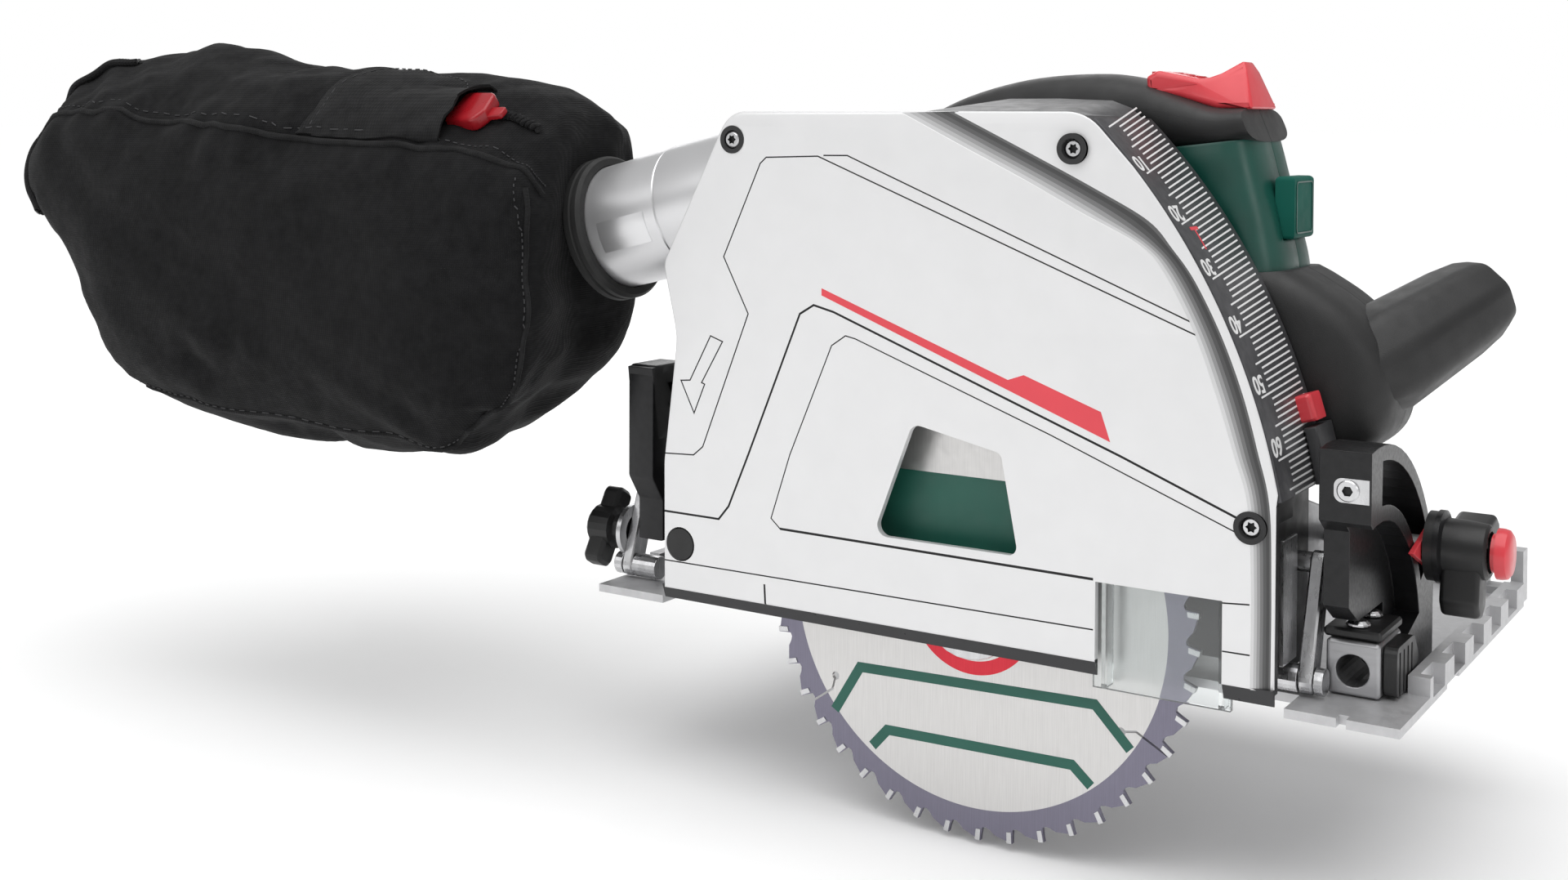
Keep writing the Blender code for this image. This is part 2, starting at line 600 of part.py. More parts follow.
def make_bag_solid():
    work = bmesh.new()
    bmesh.ops.create_cube(work, size=2.0)
    bmesh.ops.subdivide_edges(work, edges=work.edges, cuts=2, use_grid_fill=True)
    for vert in work.verts:
        vert.co = bag_shape(*vert.co)
    mesh = bpy.data.meshes.new("dust_bag")
    work.to_mesh(mesh)
    work.free()
    bag = add_mesh("dust_bag", mesh)
    soft = bag.modifiers.new("soft", "SUBSURF")
    soft.levels = 1
    soft.render_levels = 1
    mouth = box("bag_mouth", (-100, -200, 0), (0, 60, 300), cutter=True)
    mouth.matrix_world = (Matrix.Translation(port_point(62.4) * MM)
                          @ Matrix.Rotation(math.radians(-PORT_TILT), 4, "Y")
                          @ Matrix.Translation(Vector((100, 0, -150)) * MM))
    return cut(bag, mouth)


# ---------------------------------------------------------------- drive line
def make_blade_group():
    points = []
    tooth = 360 / TEETH
    for i in range(TEETH):
        start = -1.7 + i * tooth
        for radius, ahead in ((BLADE_R, 0), (BLADE_R - 4.6, 0.5), (BLADE_R - 4.6, 2.4), (BLADE_R - 1.9, 3.6)):
            points.append(polar(SPINDLE, radius, start + ahead))
    hole = circle(SPINDLE, 10, 28)
    blade = outline_solid("saw_blade", "XZ", points, BLADE_Y - 0.9, BLADE_Y + 0.9, holes=(hole,))
    finish(blade, (STEEL, 0.25, 1.0), BLADE_BODY)
    start = (SPINDLE[0], 0, SPINDLE[1])
    boss = [(6.3, 90.4), (9.7, 90.4), (9.7, 88.8), (15.3, 88.8), (15.3, 84.7), (6.3, 84.7)]
    finish(turned("inner_flange", boss, start, (0, -1, 0), 24, closed=True), (STEEL, 0.35, 1.0), BLADE_BODY)
    finish(ring("outer_flange", (0, -91.2, SPINDLE[1]), (0, -1, 0), 18.5, 5.4, 3.4, 28), (STEEL, 0.35, 1.0),
           BLADE_BODY)
    bolt = [(0, 98.4), (6.5, 98.4), (7.6, 97.4), (7.6, 95.0), (5.0, 95.0), (5.0, 91.0), (0, 91.0)]
    finish(turned("blade_bolt", bolt, start, (0, -1, 0), 16), (BLACK, 0.35, 0.8), BLADE_BODY)
    spindle = cylinder("spindle", (0, -90.7, SPINDLE[1]), (0, 1, 0), 6.0, 35.2, 16)
    teeth = gear_outline(SPINDLE, MODULE_OUT, GEAR_OUT, LAY_ANGLE)
    join(spindle, outline_solid("spindle_gear", "XZ", teeth, -62, -56, cutter=True))
    finish(spindle, (STEEL, 0.3, 1.0), BLADE_BODY)


def make_layshaft():
    shaft = cylinder("layshaft", (LAYSHAFT[0], -62.5, LAYSHAFT[1]), (0, 1, 0), 3.5, 18, 12)
    teeth = gear_outline(LAYSHAFT, MODULE_OUT, PINION_OUT, LAY_ANGLE + 180 + 180 / PINION_OUT)
    small = outline_solid("lay_pinion", "XZ", teeth, -62, -56, cutter=True)
    teeth = gear_outline(LAYSHAFT, MODULE_IN, GEAR_IN, MOTOR_ANGLE)
    large = outline_solid("lay_gear", "XZ", teeth, -54, -49, cutter=True)
    join(shaft, small, large)
    finish(shaft, (STEEL, 0.3, 1.0), LAY_BODY)


def make_rotor():
    fan = [(3.5, 38), (33, 36), (33, 30), (6, 28)]
    core = [(6, 20), (20, 20), (20, -20), (6, -20)]
    profile = [(0, 57), (3.5, 57), *fan, *core, (6, -30), (3.5, -30), (3.5, -54), (0, -54)]
    rotor = turned("rotor", profile, (MOTOR[0], 0, MOTOR[1]), (0, 1, 0), 20)
    teeth = gear_outline(MOTOR, MODULE_IN, PINION_IN, MOTOR_ANGLE + 180 + 180 / PINION_IN)
    join(rotor, outline_solid("rotor_pinion", "XZ", teeth, -53.7, -49, cutter=True))
    finish(rotor, (STEEL, 0.35, 1.0), ROTOR_BODY)


# ---------------------------------------------------------------- motor unit
def make_gear_housing():
    back, front = -65.5, -44.0
    upper, lower = arc(MOTOR, MOTOR_R, -62, 182, 24), arc(MOTOR, MOTOR_R, 228, 250, 2)
    arm, nose_ring = arc(PIVOT, 12.5, 72, 288, 8), arc(SPINDLE, 15.3, 200, 340, 10)
    housing = outline_solid("gear_housing", "XZ", upper + arm + lower + nose_ring, back, front)
    relief = box("arm_relief", (-150, -50.6, 0), (-50, front + 1, 60), cutter=True)
    nose = cylinder("gear_nose", (0, -84.4, SPINDLE[1]), (0, 1, 0), 14.0, 22, 20, cutter=True)
    join(housing, nose)
    wells = [cylinder("well_spindle", (0, -63, SPINDLE[1]), (0, 1, 0), 13.3, 30, 20, cutter=True),
             cylinder("well_layshaft", (LAYSHAFT[0], -63, LAYSHAFT[1]), (0, 1, 0), 15.4, 30, 20, cutter=True),
             cylinder("well_motor", (MOTOR[0], -60, MOTOR[1]), (0, 1, 0), 24, 30, 24, cutter=True),
             cylinder("well_bearing", (0, -90, SPINDLE[1]), (0, 1, 0), 11.4, 16, 20, cutter=True),
             cylinder("well_bore", (0, -90, SPINDLE[1]), (0, 1, 0), 6.4, 40, 24, cutter=True),
             cylinder("well_lock", (MOTOR[0], -54.5, 84.5), (0, 0, 1), 6.4, 20, 24, cutter=True),
             cylinder("arm_bore", (PIVOT[0], -90, PIVOT[1]), (0, 1, 0), 5.4, 80, 24, cutter=True)]
    cut(housing, relief, *wells)
    finish(housing, (STEEL, 0.5, 0.8), MOTOR_UNIT)
    bearing = ring("spindle_bearing", (0, -83.6, SPINDLE[1]), (0, 1, 0), 11.0, 6.3, 8.8, 20)
    finish(bearing, (STEEL, 0.2, 1.0), MOTOR_UNIT)


def make_motor():
    low, high = MOTOR_Y
    pot = ring("motor_housing", (MOTOR[0], low, MOTOR[1]), (0, 1, 0), MOTOR_R, MOTOR_R - WALL, high - low, 36)
    finish(pot, (GREEN, 0.45), MOTOR_UNIT)
    stator = ring("stator", (MOTOR[0], -19, MOTOR[1]), (0, 1, 0), MOTOR_R - WALL - GAP, 21, 38, 28)
    finish(stator, (STEEL, 0.5, 0.8), MOTOR_UNIT)
    board = ring("control_board", (MOTOR[0], -36, MOTOR[1]), (0, 1, 0), 34, 9, 6, 24)
    finish(board, ((0.02, 0.1, 0.05), 0.6), MOTOR_UNIT)
    outer, inner, rim = MOTOR_R, MOTOR_R - WALL, high + GAP
    profile = [(0, 64), (30, 64), (outer - 4, 61), (outer, 56), (outer, rim), (inner, rim), (inner, 58), (0, 60)]
    cap = turned("motor_end_cap", profile, (MOTOR[0], 0, MOTOR[1]), (0, 1, 0), 36)
    for i in range(6):
        x, z = MOTOR[0] - 24, MOTOR[1] - 19.5 + 7 * i
        cut(cap, box(f"air_slot_{i}", (x, 55, z), (x + 18, 66, z + 3), cutter=True))
    dial = (MOTOR[0] + 17, MOTOR[1] + 12)
    cut(cap, cylinder("dial_well", (dial[0], 57, dial[1]), (0, 1, 0), 9.4, 10, 28, cutter=True))
    finish(cap, (BLACK, 0.5), MOTOR_UNIT)
    bearing = ring("rotor_bearing", (MOTOR[0], 50, MOTOR[1]), (0, 1, 0), 9, 3.8, 6, 16)
    finish(bearing, (STEEL, 0.2, 1.0), MOTOR_UNIT)
    dial_body = joint_empty("speed_dial_turn", (dial[0], 62, dial[1]), MOTOR_UNIT)
    wheel = cylinder("speed_dial", (dial[0], 60.6, dial[1]), (0, 1, 0), 9, 5.4, 28)
    cut(wheel, box("dial_notch", (dial[0] - 0.8, 65, dial[1]), (dial[0] + 0.8, 67, dial[1] + 10), cutter=True))
    finish(wheel, (BLACK, 0.5), dial_body)
    lock_body = joint_empty("spindle_lock_push", (MOTOR[0], -54.5, 95), MOTOR_UNIT)
    lock = cylinder("spindle_lock", (MOTOR[0], -54.5, 89), (0, 0, 1), 6, 11, 24)
    finish(lock, (BLACK, 0.45), lock_body)


HANDLE_OUTSIDE = [(47, 179.3, 2), (81, 180.0, 2), (79.5, 191, 3), (77, 193.2, 2), (34, 197.2, 2), (32, 203.6, 2),
                  (-8, 202, 40), (-44, 191, 40), (-76, 168, 26), (-90, 128, 40), (-86, 84, 20), (-64, 60, 6)]
HANDLE_INSIDE = [(-40, 56, 0), (-30, 96, 0), (-44, 106, 14), (-52, 134, 16), (-34, 160, 24), (16, 168, 30),
                 (47, 167, 2)]
COLUMN = [(48, 179.0, 2), (82.5, 179.4, 3), (88.5, 160, 20), (93, 135.2, 3), (52, 133.7, 2), (47, 150, 14)]
FRONT_BODY = [(51, 133.4, 2), (98, 134.9, 4), (117, 123, 6), (126, 102, 5), (124, 82, 7), (108, 73, 8),
              (76, 60, 12), (36, 50, 0), (24, 84, 0), (44, 104, 16)]


def make_clamshell(name, corners, width, rounding, look, cutters=()):
    """Two mirrored halves of a hollow housing, open at the seam."""
    outline = rounded(corners)
    inside = rounded(inset(corners, CASE_WALL))
    near, far = SEAM_Y - width / 2, SEAM_Y + width / 2
    for side, low, high in (("right", near, SEAM_Y - 0.15), ("left", SEAM_Y + 0.15, far)):
        half = outline_solid(f"{name}_{side}", "XZ", outline, near, far, rounding)
        other = (far + 1, SEAM_Y - 0.15) if side == "right" else (SEAM_Y + 0.15, near - 1)
        keep = sorted(other)
        away = box(f"{name}_{side}_away", (-200, keep[0], 0), (200, keep[1], 260), cutter=True)
        span = (low + CASE_WALL, high + 1) if side == "right" else (low - 1, high - CASE_WALL)
        hollow = outline_solid(f"{name}_{side}_hollow", "XZ", inside, *span, cutter=True)
        cut(half, away, hollow, *cutters)
        finish(half, look, MOTOR_UNIT)


def inset(corners, distance):
    """Moves every edge of a closed outline inwards and rejoins neighbours at their crossing."""
    count = len(corners)
    flat = [Vector(c[:2]) for c in corners]
    area = sum(flat[i - 1].x * flat[i].y - flat[i].x * flat[i - 1].y for i in range(count))
    sign = 1 if area > 0 else -1
    moved = []
    for i in range(count):
        first = (flat[i] - flat[i - 1]).normalized()
        second = (flat[(i + 1) % count] - flat[i]).normalized()
        normals = [Vector((-e.y, e.x)) * sign for e in (first, second)]
        mitre = (normals[0] + normals[1]) * distance / max(0.5, 1 + normals[0].dot(normals[1]))
        moved.append((*(flat[i] + mitre), max(corners[i][2] - distance, 0)))
    return moved


def make_handles():
    radius = MOTOR_R + 2 * GAP
    clear_motor = cylinder("motor_clear", (MOTOR[0], -70, MOTOR[1]), (0, 1, 0), radius, 160, 36, cutter=True)
    trigger_well = box("trigger_well", (23, SEAM_Y - 9.4, 158), (45, SEAM_Y + 9.4, 178), cutter=True)
    gland_hole = cylinder("gland_hole", (-95, SEAM_Y, 100), (1, 0, 0), 6.3, 20, 20, cutter=True)
    badge_well = box("badge_well", (86, SEAM_Y - 11.5, 145), (110, SEAM_Y + 11.5, 167.5), cutter=True)
    grip_root = cylinder("grip_root", GRIP_START, GRIP_DIRECTION, 10.3, 30, 28, cutter=True)
    handle_cutters = (clear_motor, trigger_well, gland_hole)
    make_clamshell("handle", HANDLE_OUTSIDE + HANDLE_INSIDE, 38, 6, (BLACK, 0.55), handle_cutters)
    make_clamshell("column", COLUMN, 48, 4, (GREEN, 0.4), (badge_well,))
    make_clamshell("front_housing", FRONT_BODY, 54, 6, (BLACK, 0.5), (clear_motor, grip_root))
    badge = box("badge_plate", (86.3, SEAM_Y - 11.2, 145.3), (95.5, SEAM_Y + 11.2, 167.2), 1.2)
    finish(badge, (GREEN, 0.4), MOTOR_UNIT)
    gland = turned("cable_inlet", [(4, 12), (8.5, 12), (8.5, 4), (6, 4), (6, 0), (4, 0)], (-87, SEAM_Y, 100),
                   (-1, 0, 0), 24, closed=True)
    finish(gland, (BLACK, 0.6), MOTOR_UNIT)


GRIP_START = Vector((112, -34, 98))
GRIP_END = Vector((141, 14, 122))
GRIP_DIRECTION = (GRIP_END - GRIP_START).normalized()


def make_front_grip():
    length = (GRIP_END - GRIP_START).length
    end = length + 13
    tip = [(0, end), (7, end - 1.5), (11.5, end - 6), (14, length - 2), (16.5, length * 0.55)]
    profile = tip + [(18, 22), (18, 8), (10, 8), (10, 2), (0, 2)]
    grip = turned("front_grip", profile, GRIP_START, GRIP_DIRECTION, 24)
    cut(grip, box("grip_room", (40, -60, 40), (126.4, 8, 180), cutter=True))
    finish(grip, (BLACK, 0.55), MOTOR_UNIT)


def make_controls():
    body = joint_empty("trigger_squeeze", (34, SEAM_Y, 165), MOTOR_UNIT)
    shape = rounded([(24, 171, 2.5), (24, 158, 4), (27, 150, 4), (38, 151, 6), (44, 160, 4), (44, 171, 2.5)])
    trigger = outline_solid("trigger", "XZ", shape, SEAM_Y - 9, SEAM_Y + 9, 1.5)
    finish(trigger, (BLACK, 0.5), body)
    body = joint_empty("lock_off_slide", (55, SEAM_Y, 197), MOTOR_UNIT)
    shape = [(34.6, 197.6), (34.0, 201.5), (37, 203.4), (44, 203.2), (52, 201.2), (58, 200.4), (64, 202.2),
             (70.5, 207.3), (72.6, 206.8), (77.6, 194.4), (76.6, 193.7)]
    slider = outline_solid("lock_off_slider", "XZ", shape, SEAM_Y - 10.5, SEAM_Y + 10.5, 0.8)
    finish(slider, (RED, 0.4), body)


make_base_plate()
make_bevel_segments()
make_barrels()
make_fence_clamp()
make_guard_shell()
make_guard_cover()
make_depth_scale()
make_hinge_arms()
make_clamp_bracket()
make_front_knob()
make_rear_knob()
make_depth_stop()
make_pivot()
make_chip_guard()
make_dust_port()
make_blade_group()
make_layshaft()
make_rotor()
make_gear_housing()
make_motor()
make_handles()
make_front_grip()
make_controls()
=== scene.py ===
"""Looks of the track plunge saw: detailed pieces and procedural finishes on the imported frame.

Lengths below are millimetres in the row frame, and MM turns them into metres when a mesh is made.
"""
import json
import math

import bmesh
import bpy
from mathutils import Matrix, Vector, noise
from mathutils.bvhtree import BVHTree


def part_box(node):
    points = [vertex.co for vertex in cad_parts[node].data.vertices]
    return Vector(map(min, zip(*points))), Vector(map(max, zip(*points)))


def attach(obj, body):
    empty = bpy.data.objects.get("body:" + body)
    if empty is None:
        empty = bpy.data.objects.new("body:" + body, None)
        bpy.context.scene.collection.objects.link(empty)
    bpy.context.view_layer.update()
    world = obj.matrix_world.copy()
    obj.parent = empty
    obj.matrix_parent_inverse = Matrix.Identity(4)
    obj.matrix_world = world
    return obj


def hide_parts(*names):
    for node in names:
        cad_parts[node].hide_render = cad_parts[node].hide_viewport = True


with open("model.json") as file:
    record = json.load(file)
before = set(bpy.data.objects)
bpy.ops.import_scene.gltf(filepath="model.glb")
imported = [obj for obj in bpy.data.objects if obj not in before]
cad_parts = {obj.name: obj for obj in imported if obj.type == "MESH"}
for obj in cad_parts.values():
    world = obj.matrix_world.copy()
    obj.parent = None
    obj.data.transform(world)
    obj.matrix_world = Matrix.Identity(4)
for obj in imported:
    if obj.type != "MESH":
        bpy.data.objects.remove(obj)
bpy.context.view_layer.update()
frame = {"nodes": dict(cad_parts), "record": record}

MM = 0.001
BODY_OF = {node: body for body, nodes in frame["record"]["behaviour"]["bodies"].items() for node in nodes}


def low(node):
    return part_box(node)[0] / MM


def high(node):
    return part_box(node)[1] / MM


def mid(node):
    return (low(node) + high(node)) / 2


# Reference places, all read from the frame
PIVOT = (mid("plunge_pivot").x, mid("plunge_pivot").z)
SPINDLE = (mid("outer_flange").x, mid("outer_flange").z)
CLAMP = (mid("undercut_button").y, mid("undercut_button").z)
COVER_Y = (low("guard_cover").y, high("guard_cover").y)
SHELL_Y = (low("guard_shell").y, high("guard_shell").y)
RIM_R = math.hypot(high("depth_scale").x - PIVOT[0], low("depth_scale").z - PIVOT[1])
BLADE_Y = mid("saw_blade").y
BLADE_R = (high("saw_blade").z - low("saw_blade").z) / 2
SEAM_Y = mid("lock_off_slider").y
MOTOR = (mid("motor_housing").x, mid("motor_housing").z)
MOTOR_R = (high("motor_housing").x - low("motor_housing").x) / 2


# ---------------------------------------------------------------- finishes
def shade(colour, share):
    return (*(min(c * share, 1.0) for c in colour), 1.0)


def feed(tree, target, inputs):
    """Gives each input of a node a value, or another node's output."""
    for socket, value in inputs.items():
        if isinstance(value, bpy.types.NodeSocket):
            tree.links.new(value, target.inputs[socket])
        else:
            target.inputs[socket].default_value = value


def add(tree, kind, inputs, **settings):
    """New shader node with its settings and inputs."""
    made = tree.nodes.new("ShaderNode" + kind)
    for key, value in settings.items():
        setattr(made, key, value)
    feed(tree, made, inputs)
    return made


def spread(tree, noise_value, least, most):
    """Stretches the middle of a noise over a range of values."""
    return add(tree, "MapRange", {"Value": noise_value, "From Min": 0.3, "From Max": 0.7, "To Min": least,
                                  "To Max": most})


def found(tree, kind):
    return next(item for item in tree.nodes if item.type == kind)


def surface(name, colour, roughness, metallic=0.0, mottle=0.08, mottle_size=15.0, grain=0.15, grain_size=0.5,
            stretch=(1, 1, 1), uneven=0.06, **sockets):
    """Finish with colour mottling, uneven gloss and a fine grain in its relief; sizes in millimetres."""
    made = bpy.data.materials.new(name)
    made.use_nodes = True
    tree = made.node_tree
    coordinates = add(tree, "TexCoord", {})
    mapping = add(tree, "Mapping", {"Scale": stretch, "Vector": coordinates.outputs["Object"]})

    def speckle(size, detail):
        inputs = {"Scale": 1 / (size * MM), "Detail": detail, "Vector": mapping.outputs["Vector"]}
        return add(tree, "TexNoise", inputs).outputs["Fac"]

    ramp = add(tree, "ValToRGB", {"Fac": speckle(mottle_size, 5)})
    for stop, place, share in zip(ramp.color_ramp.elements, (0.3, 0.7), (1 - mottle, 1 + mottle)):
        stop.position = place
        stop.color = shade(colour, share)
    gloss = spread(tree, speckle(mottle_size * 0.4, 6), max(roughness - uneven, 0.03),
                   min(roughness + uneven, 1.0))
    relief = add(tree, "Bump", {"Strength": grain, "Distance": 0.1 * MM, "Height": speckle(grain_size, 2)})
    feed(tree, tree.nodes["Principled BSDF"],
         {"Metallic": metallic, **{key.replace("_", " "): value for key, value in sockets.items()},
          "Base Color": ramp.outputs["Color"], "Roughness": gloss.outputs["Result"],
          "Normal": relief.outputs["Normal"]})
    return made


def weave(name, colour, thread):
    """Woven black fabric: two crossing thread directions over a soft mottling."""
    made = surface(name, colour, 0.88, mottle=0.35, mottle_size=9, uneven=0.08, Sheen_Weight=0.04,
                   Sheen_Roughness=0.4, Specular_IOR_Level=0.2)
    tree = made.node_tree
    inputs = {"Scale": 0.314 / (thread * MM), "Distortion": 0.6, "Detail": 1,
              "Vector": found(tree, "MAPPING").outputs["Vector"]}
    warp, weft = (add(tree, "TexWave", inputs, bands_direction=way).outputs["Fac"] for way in ("X", "Z"))
    crossing = add(tree, "Math", {0: warp, 1: weft}, operation="MULTIPLY")
    feed(tree, found(tree, "BUMP"),
         {"Height": crossing.outputs["Value"], "Strength": 0.55, "Distance": 0.3 * MM})
    return made


def zoned_disc(name, zones, roughness):
    """Ground disc whose colour follows the distance from the spindle; zones are (radius, colour)."""
    made = surface(name, zones[0][1], roughness, metallic=0.9, mottle_size=6, grain=0.05, uneven=0.05)
    tree = made.node_tree
    centre = (SPINDLE[0] * MM, BLADE_Y * MM, SPINDLE[1] * MM)
    place = found(tree, "TEX_COORD").outputs["Object"]
    offset = add(tree, "VectorMath", {0: place, 1: centre}, operation="SUBTRACT").outputs["Vector"]
    flat = add(tree, "VectorMath", {0: offset, 1: (1, 0, 1)}, operation="MULTIPLY")
    radius = add(tree, "VectorMath", {0: flat.outputs["Vector"]}, operation="LENGTH")
    share = add(tree, "Math", {0: radius.outputs["Value"], 1: BLADE_R * MM}, operation="DIVIDE")
    ramp = add(tree, "ValToRGB", {"Fac": share.outputs["Value"]})
    ramp.color_ramp.interpolation = "CONSTANT"
    ramp.color_ramp.elements[0].color = (*zones[0][1], 1)
    ramp.color_ramp.elements[1].position = zones[1][0] / BLADE_R
    ramp.color_ramp.elements[1].color = (*zones[1][1], 1)
    for start, colour in zones[2:]:
        ramp.color_ramp.elements.new(start / BLADE_R).color = (*colour, 1)
    drawn = add(tree, "Mapping", {"Rotation": (0, 0.9, 0), "Scale": (900, 1, 12), "Vector": offset})
    brushed = add(tree, "TexNoise", {"Scale": 5.0, "Detail": 8, "Vector": drawn.outputs["Vector"]})
    streak = spread(tree, brushed.outputs["Fac"], 0.86, 1.0).outputs["Result"]
    toned = add(tree, "VectorMath", {0: ramp.outputs["Color"], "Scale": streak}, operation="SCALE")
    feed(tree, tree.nodes["Principled BSDF"], {"Base Color": toned.outputs["Vector"]})
    return made


PAINT_SILVER = surface("silver_paint", (0.76, 0.76, 0.765), 0.36, metallic=0.25, mottle=0.015, grain=0.05,
                       grain_size=0.25, uneven=0.03, Coat_Weight=0.25, Coat_Roughness=0.25)
# Painted shade and reflection: near-black colour for the silver cover's down-facing lower bevel
PAINTED_SILL_SHADE = surface("silver_paint_edge_painted_shade", (0.045, 0.045, 0.047), 0.33, metallic=0.5, mottle=0.03, grain=0.05)
# Painted shade and reflection for the crease's strips, from the panel down to the border: darkening, then
# lighter again at the foot
CREASE_PAINTED_SHADE = [surface(f"crease_{i}", (tone, tone, tone * 1.01), 0.36, metallic=0.25, mottle=0.02, grain=0.05)
          for i, tone in enumerate((0.62, 0.46, 0.30, 0.17, 0.09, 0.06, 0.12, 0.30))]
# Painted shade: near-black colour for the insides of engraved lines, screw wells, socket recesses and collars
GROOVE_PAINTED_SHADE = surface("groove_painted_shade", (0.02, 0.02, 0.021), 0.7, mottle=0.1)
CHARCOAL = surface("charcoal_coat", (0.055, 0.055, 0.058), 0.42, metallic=0.3, mottle=0.1, grain=0.4,
                   grain_size=0.35)
BAND = surface("scale_band", (0.075, 0.075, 0.08), 0.36, metallic=0.35, mottle=0.22, mottle_size=4, grain=0.2)
WHITE = surface("white_print", (0.78, 0.78, 0.78), 0.5, mottle=0.03)
RED_PRINT = surface("red_print", (0.72, 0.06, 0.08), 0.45, mottle=0.03)
GREEN_PRINT = surface("green_print", (0.012, 0.105, 0.075), 0.42, mottle=0.06)
BLACK = surface("black_grained_plastic", (0.009, 0.009, 0.0093), 0.42, mottle=0.25, grain=0.35,
                grain_size=0.4)
SOFT_BLACK = surface("soft_grip", (0.008, 0.008, 0.0083), 0.50, mottle=0.25, grain=0.5, grain_size=0.3,
                     Sheen_Weight=0.05)
RUBBER = surface("rubber", (0.014, 0.014, 0.014), 0.68, mottle=0.2, grain=0.4, grain_size=0.6)
GREEN = surface("green_plastic", (0.005, 0.062, 0.046), 0.36, mottle=0.10, grain=0.18, grain_size=0.4,
                Coat_Weight=0.15, Coat_Roughness=0.3)
BADGE = surface("badge_green", (0.003, 0.095, 0.070), 0.62, mottle=0.08, grain=0.1, Specular_IOR_Level=0.2)
RED = surface("red_plastic", (0.68, 0.045, 0.06), 0.34, mottle=0.05, grain=0.12, Coat_Weight=0.2)
STEEL = surface("zinc_steel", (0.62, 0.62, 0.63), 0.30, metallic=1.0, mottle_size=3, stretch=(1, 1, 0.15))
DARK_STEEL = surface("black_steel", (0.012, 0.012, 0.013), 0.34, metallic=0.35, mottle=0.2, mottle_size=3)
CAST = surface("cast_aluminium", (0.56, 0.56, 0.57), 0.44, metallic=0.9, mottle_size=4, grain=0.6)
CAST_PALE = surface("cast_pale", (0.56, 0.56, 0.57), 0.46, metallic=0.6, mottle=0.06, mottle_size=5,
                    grain=0.5)
MILLED = surface("milled_aluminium", (0.40, 0.40, 0.41), 0.40, metallic=0.95, mottle=0.05, mottle_size=3,
                 grain=0.3, stretch=(0.1, 1, 1))
SATIN = surface("satin_silver", (0.72, 0.72, 0.73), 0.34, metallic=0.8, mottle=0.01, mottle_size=40,
                grain=0.04, grain_size=0.3, uneven=0.02)
LAMINATE = surface("laminated_steel", (0.22, 0.22, 0.23), 0.45, metallic=0.8, grain=0.8,
                   stretch=(0.05, 4, 0.05))
BOARD = surface("circuit_board", (0.015, 0.12, 0.05), 0.4, mottle=0.3, mottle_size=3)
CLEAR = surface("clear_plastic", (0.92, 0.95, 0.95), 0.06, mottle=0.01, grain=0.02, uneven=0.02,
                Transmission_Weight=0.95, IOR=1.46)
FABRIC = weave("bag_canvas", (0.0055, 0.0055, 0.006), 0.9)
THREAD = surface("thread", (0.035, 0.035, 0.037), 0.7, mottle=0.1)
DEEP_RED = surface("deep_red_plastic", (0.33, 0.008, 0.014), 0.3, mottle=0.06, grain=0.1)
TAPE = weave("bag_tape", (0.012, 0.012, 0.0125), 1.4)
GROUND = (0.70, 0.69, 0.68)
DISC = zoned_disc("blade_disc", [(0, GROUND), (19.5, (0.66, 0.05, 0.07)), (24.2, GROUND),
                                 (BLADE_R - 11.0, (0.22, 0.21, 0.27))], 0.33)


# ---------------------------------------------------------------- shape tools
PLANES = {
    "XY": Matrix.Identity(4),
    "XZ": Matrix(((1, 0, 0, 0), (0, 0, -1, 0), (0, 1, 0, 0), (0, 0, 0, 1))),
    "YZ": Matrix(((0, 0, 1, 0), (1, 0, 0, 0), (0, 1, 0, 0), (0, 0, 0, 1))),
}


def placed(name, data):
    """A new object in the scene."""
    obj = bpy.data.objects.new(name, data)
    bpy.context.scene.collection.objects.link(obj)
    return obj


def baked(data, name="bake"):
    """The mesh that a curve, text or modified object evaluates to; the helper object goes away."""
    obj = data if isinstance(data, bpy.types.Object) else bpy.data.objects.new(name, data)
    if obj.name not in bpy.context.scene.collection.objects:
        bpy.context.scene.collection.objects.link(obj)
    bpy.context.view_layer.update()
    mesh = bpy.data.meshes.new_from_object(obj.evaluated_get(bpy.context.evaluated_depsgraph_get()))
    bpy.data.objects.remove(obj, do_unlink=True)
    return mesh


def finished(work, name):
    """The new mesh that a bmesh is written to."""
    mesh = bpy.data.meshes.new(name)
    work.to_mesh(mesh)
    work.free()
    return mesh


def welded(mesh, distance=1e-6):
    work = bmesh.new()
    work.from_mesh(mesh)
    bmesh.ops.remove_doubles(work, verts=work.verts, dist=distance)
    bmesh.ops.recalc_face_normals(work, faces=work.faces)
    work.to_mesh(mesh)
    work.free()
    return mesh


def plate(plane, points, near, far, rounding=0.0, holes=(), segments=2):
    """Extrudes a closed outline between two levels of the plane's normal, edges rounded."""
    curve = bpy.data.curves.new("plate", "CURVE")
    curve.dimensions = "2D"
    curve.fill_mode = "BOTH"
    curve.extrude = ((far - near) / 2 - rounding) * MM
    curve.bevel_depth = rounding * MM
    curve.bevel_resolution = segments
    curve.offset = -rounding * MM
    for loop in (points, *holes):
        wire = curve.splines.new("POLY")
        wire.points.add(len(loop) - 1)
        wire.use_cyclic_u = True
        for point, (u, v) in zip(wire.points, loop):
            point.co = (u * MM, v * MM, 0, 1)
    mesh = baked(curve)
    middle = (near + far) / 2 * MM * (-1 if plane == "XZ" else 1)
    mesh.transform(PLANES[plane] @ Matrix.Translation((0, 0, middle)))
    return welded(mesh)


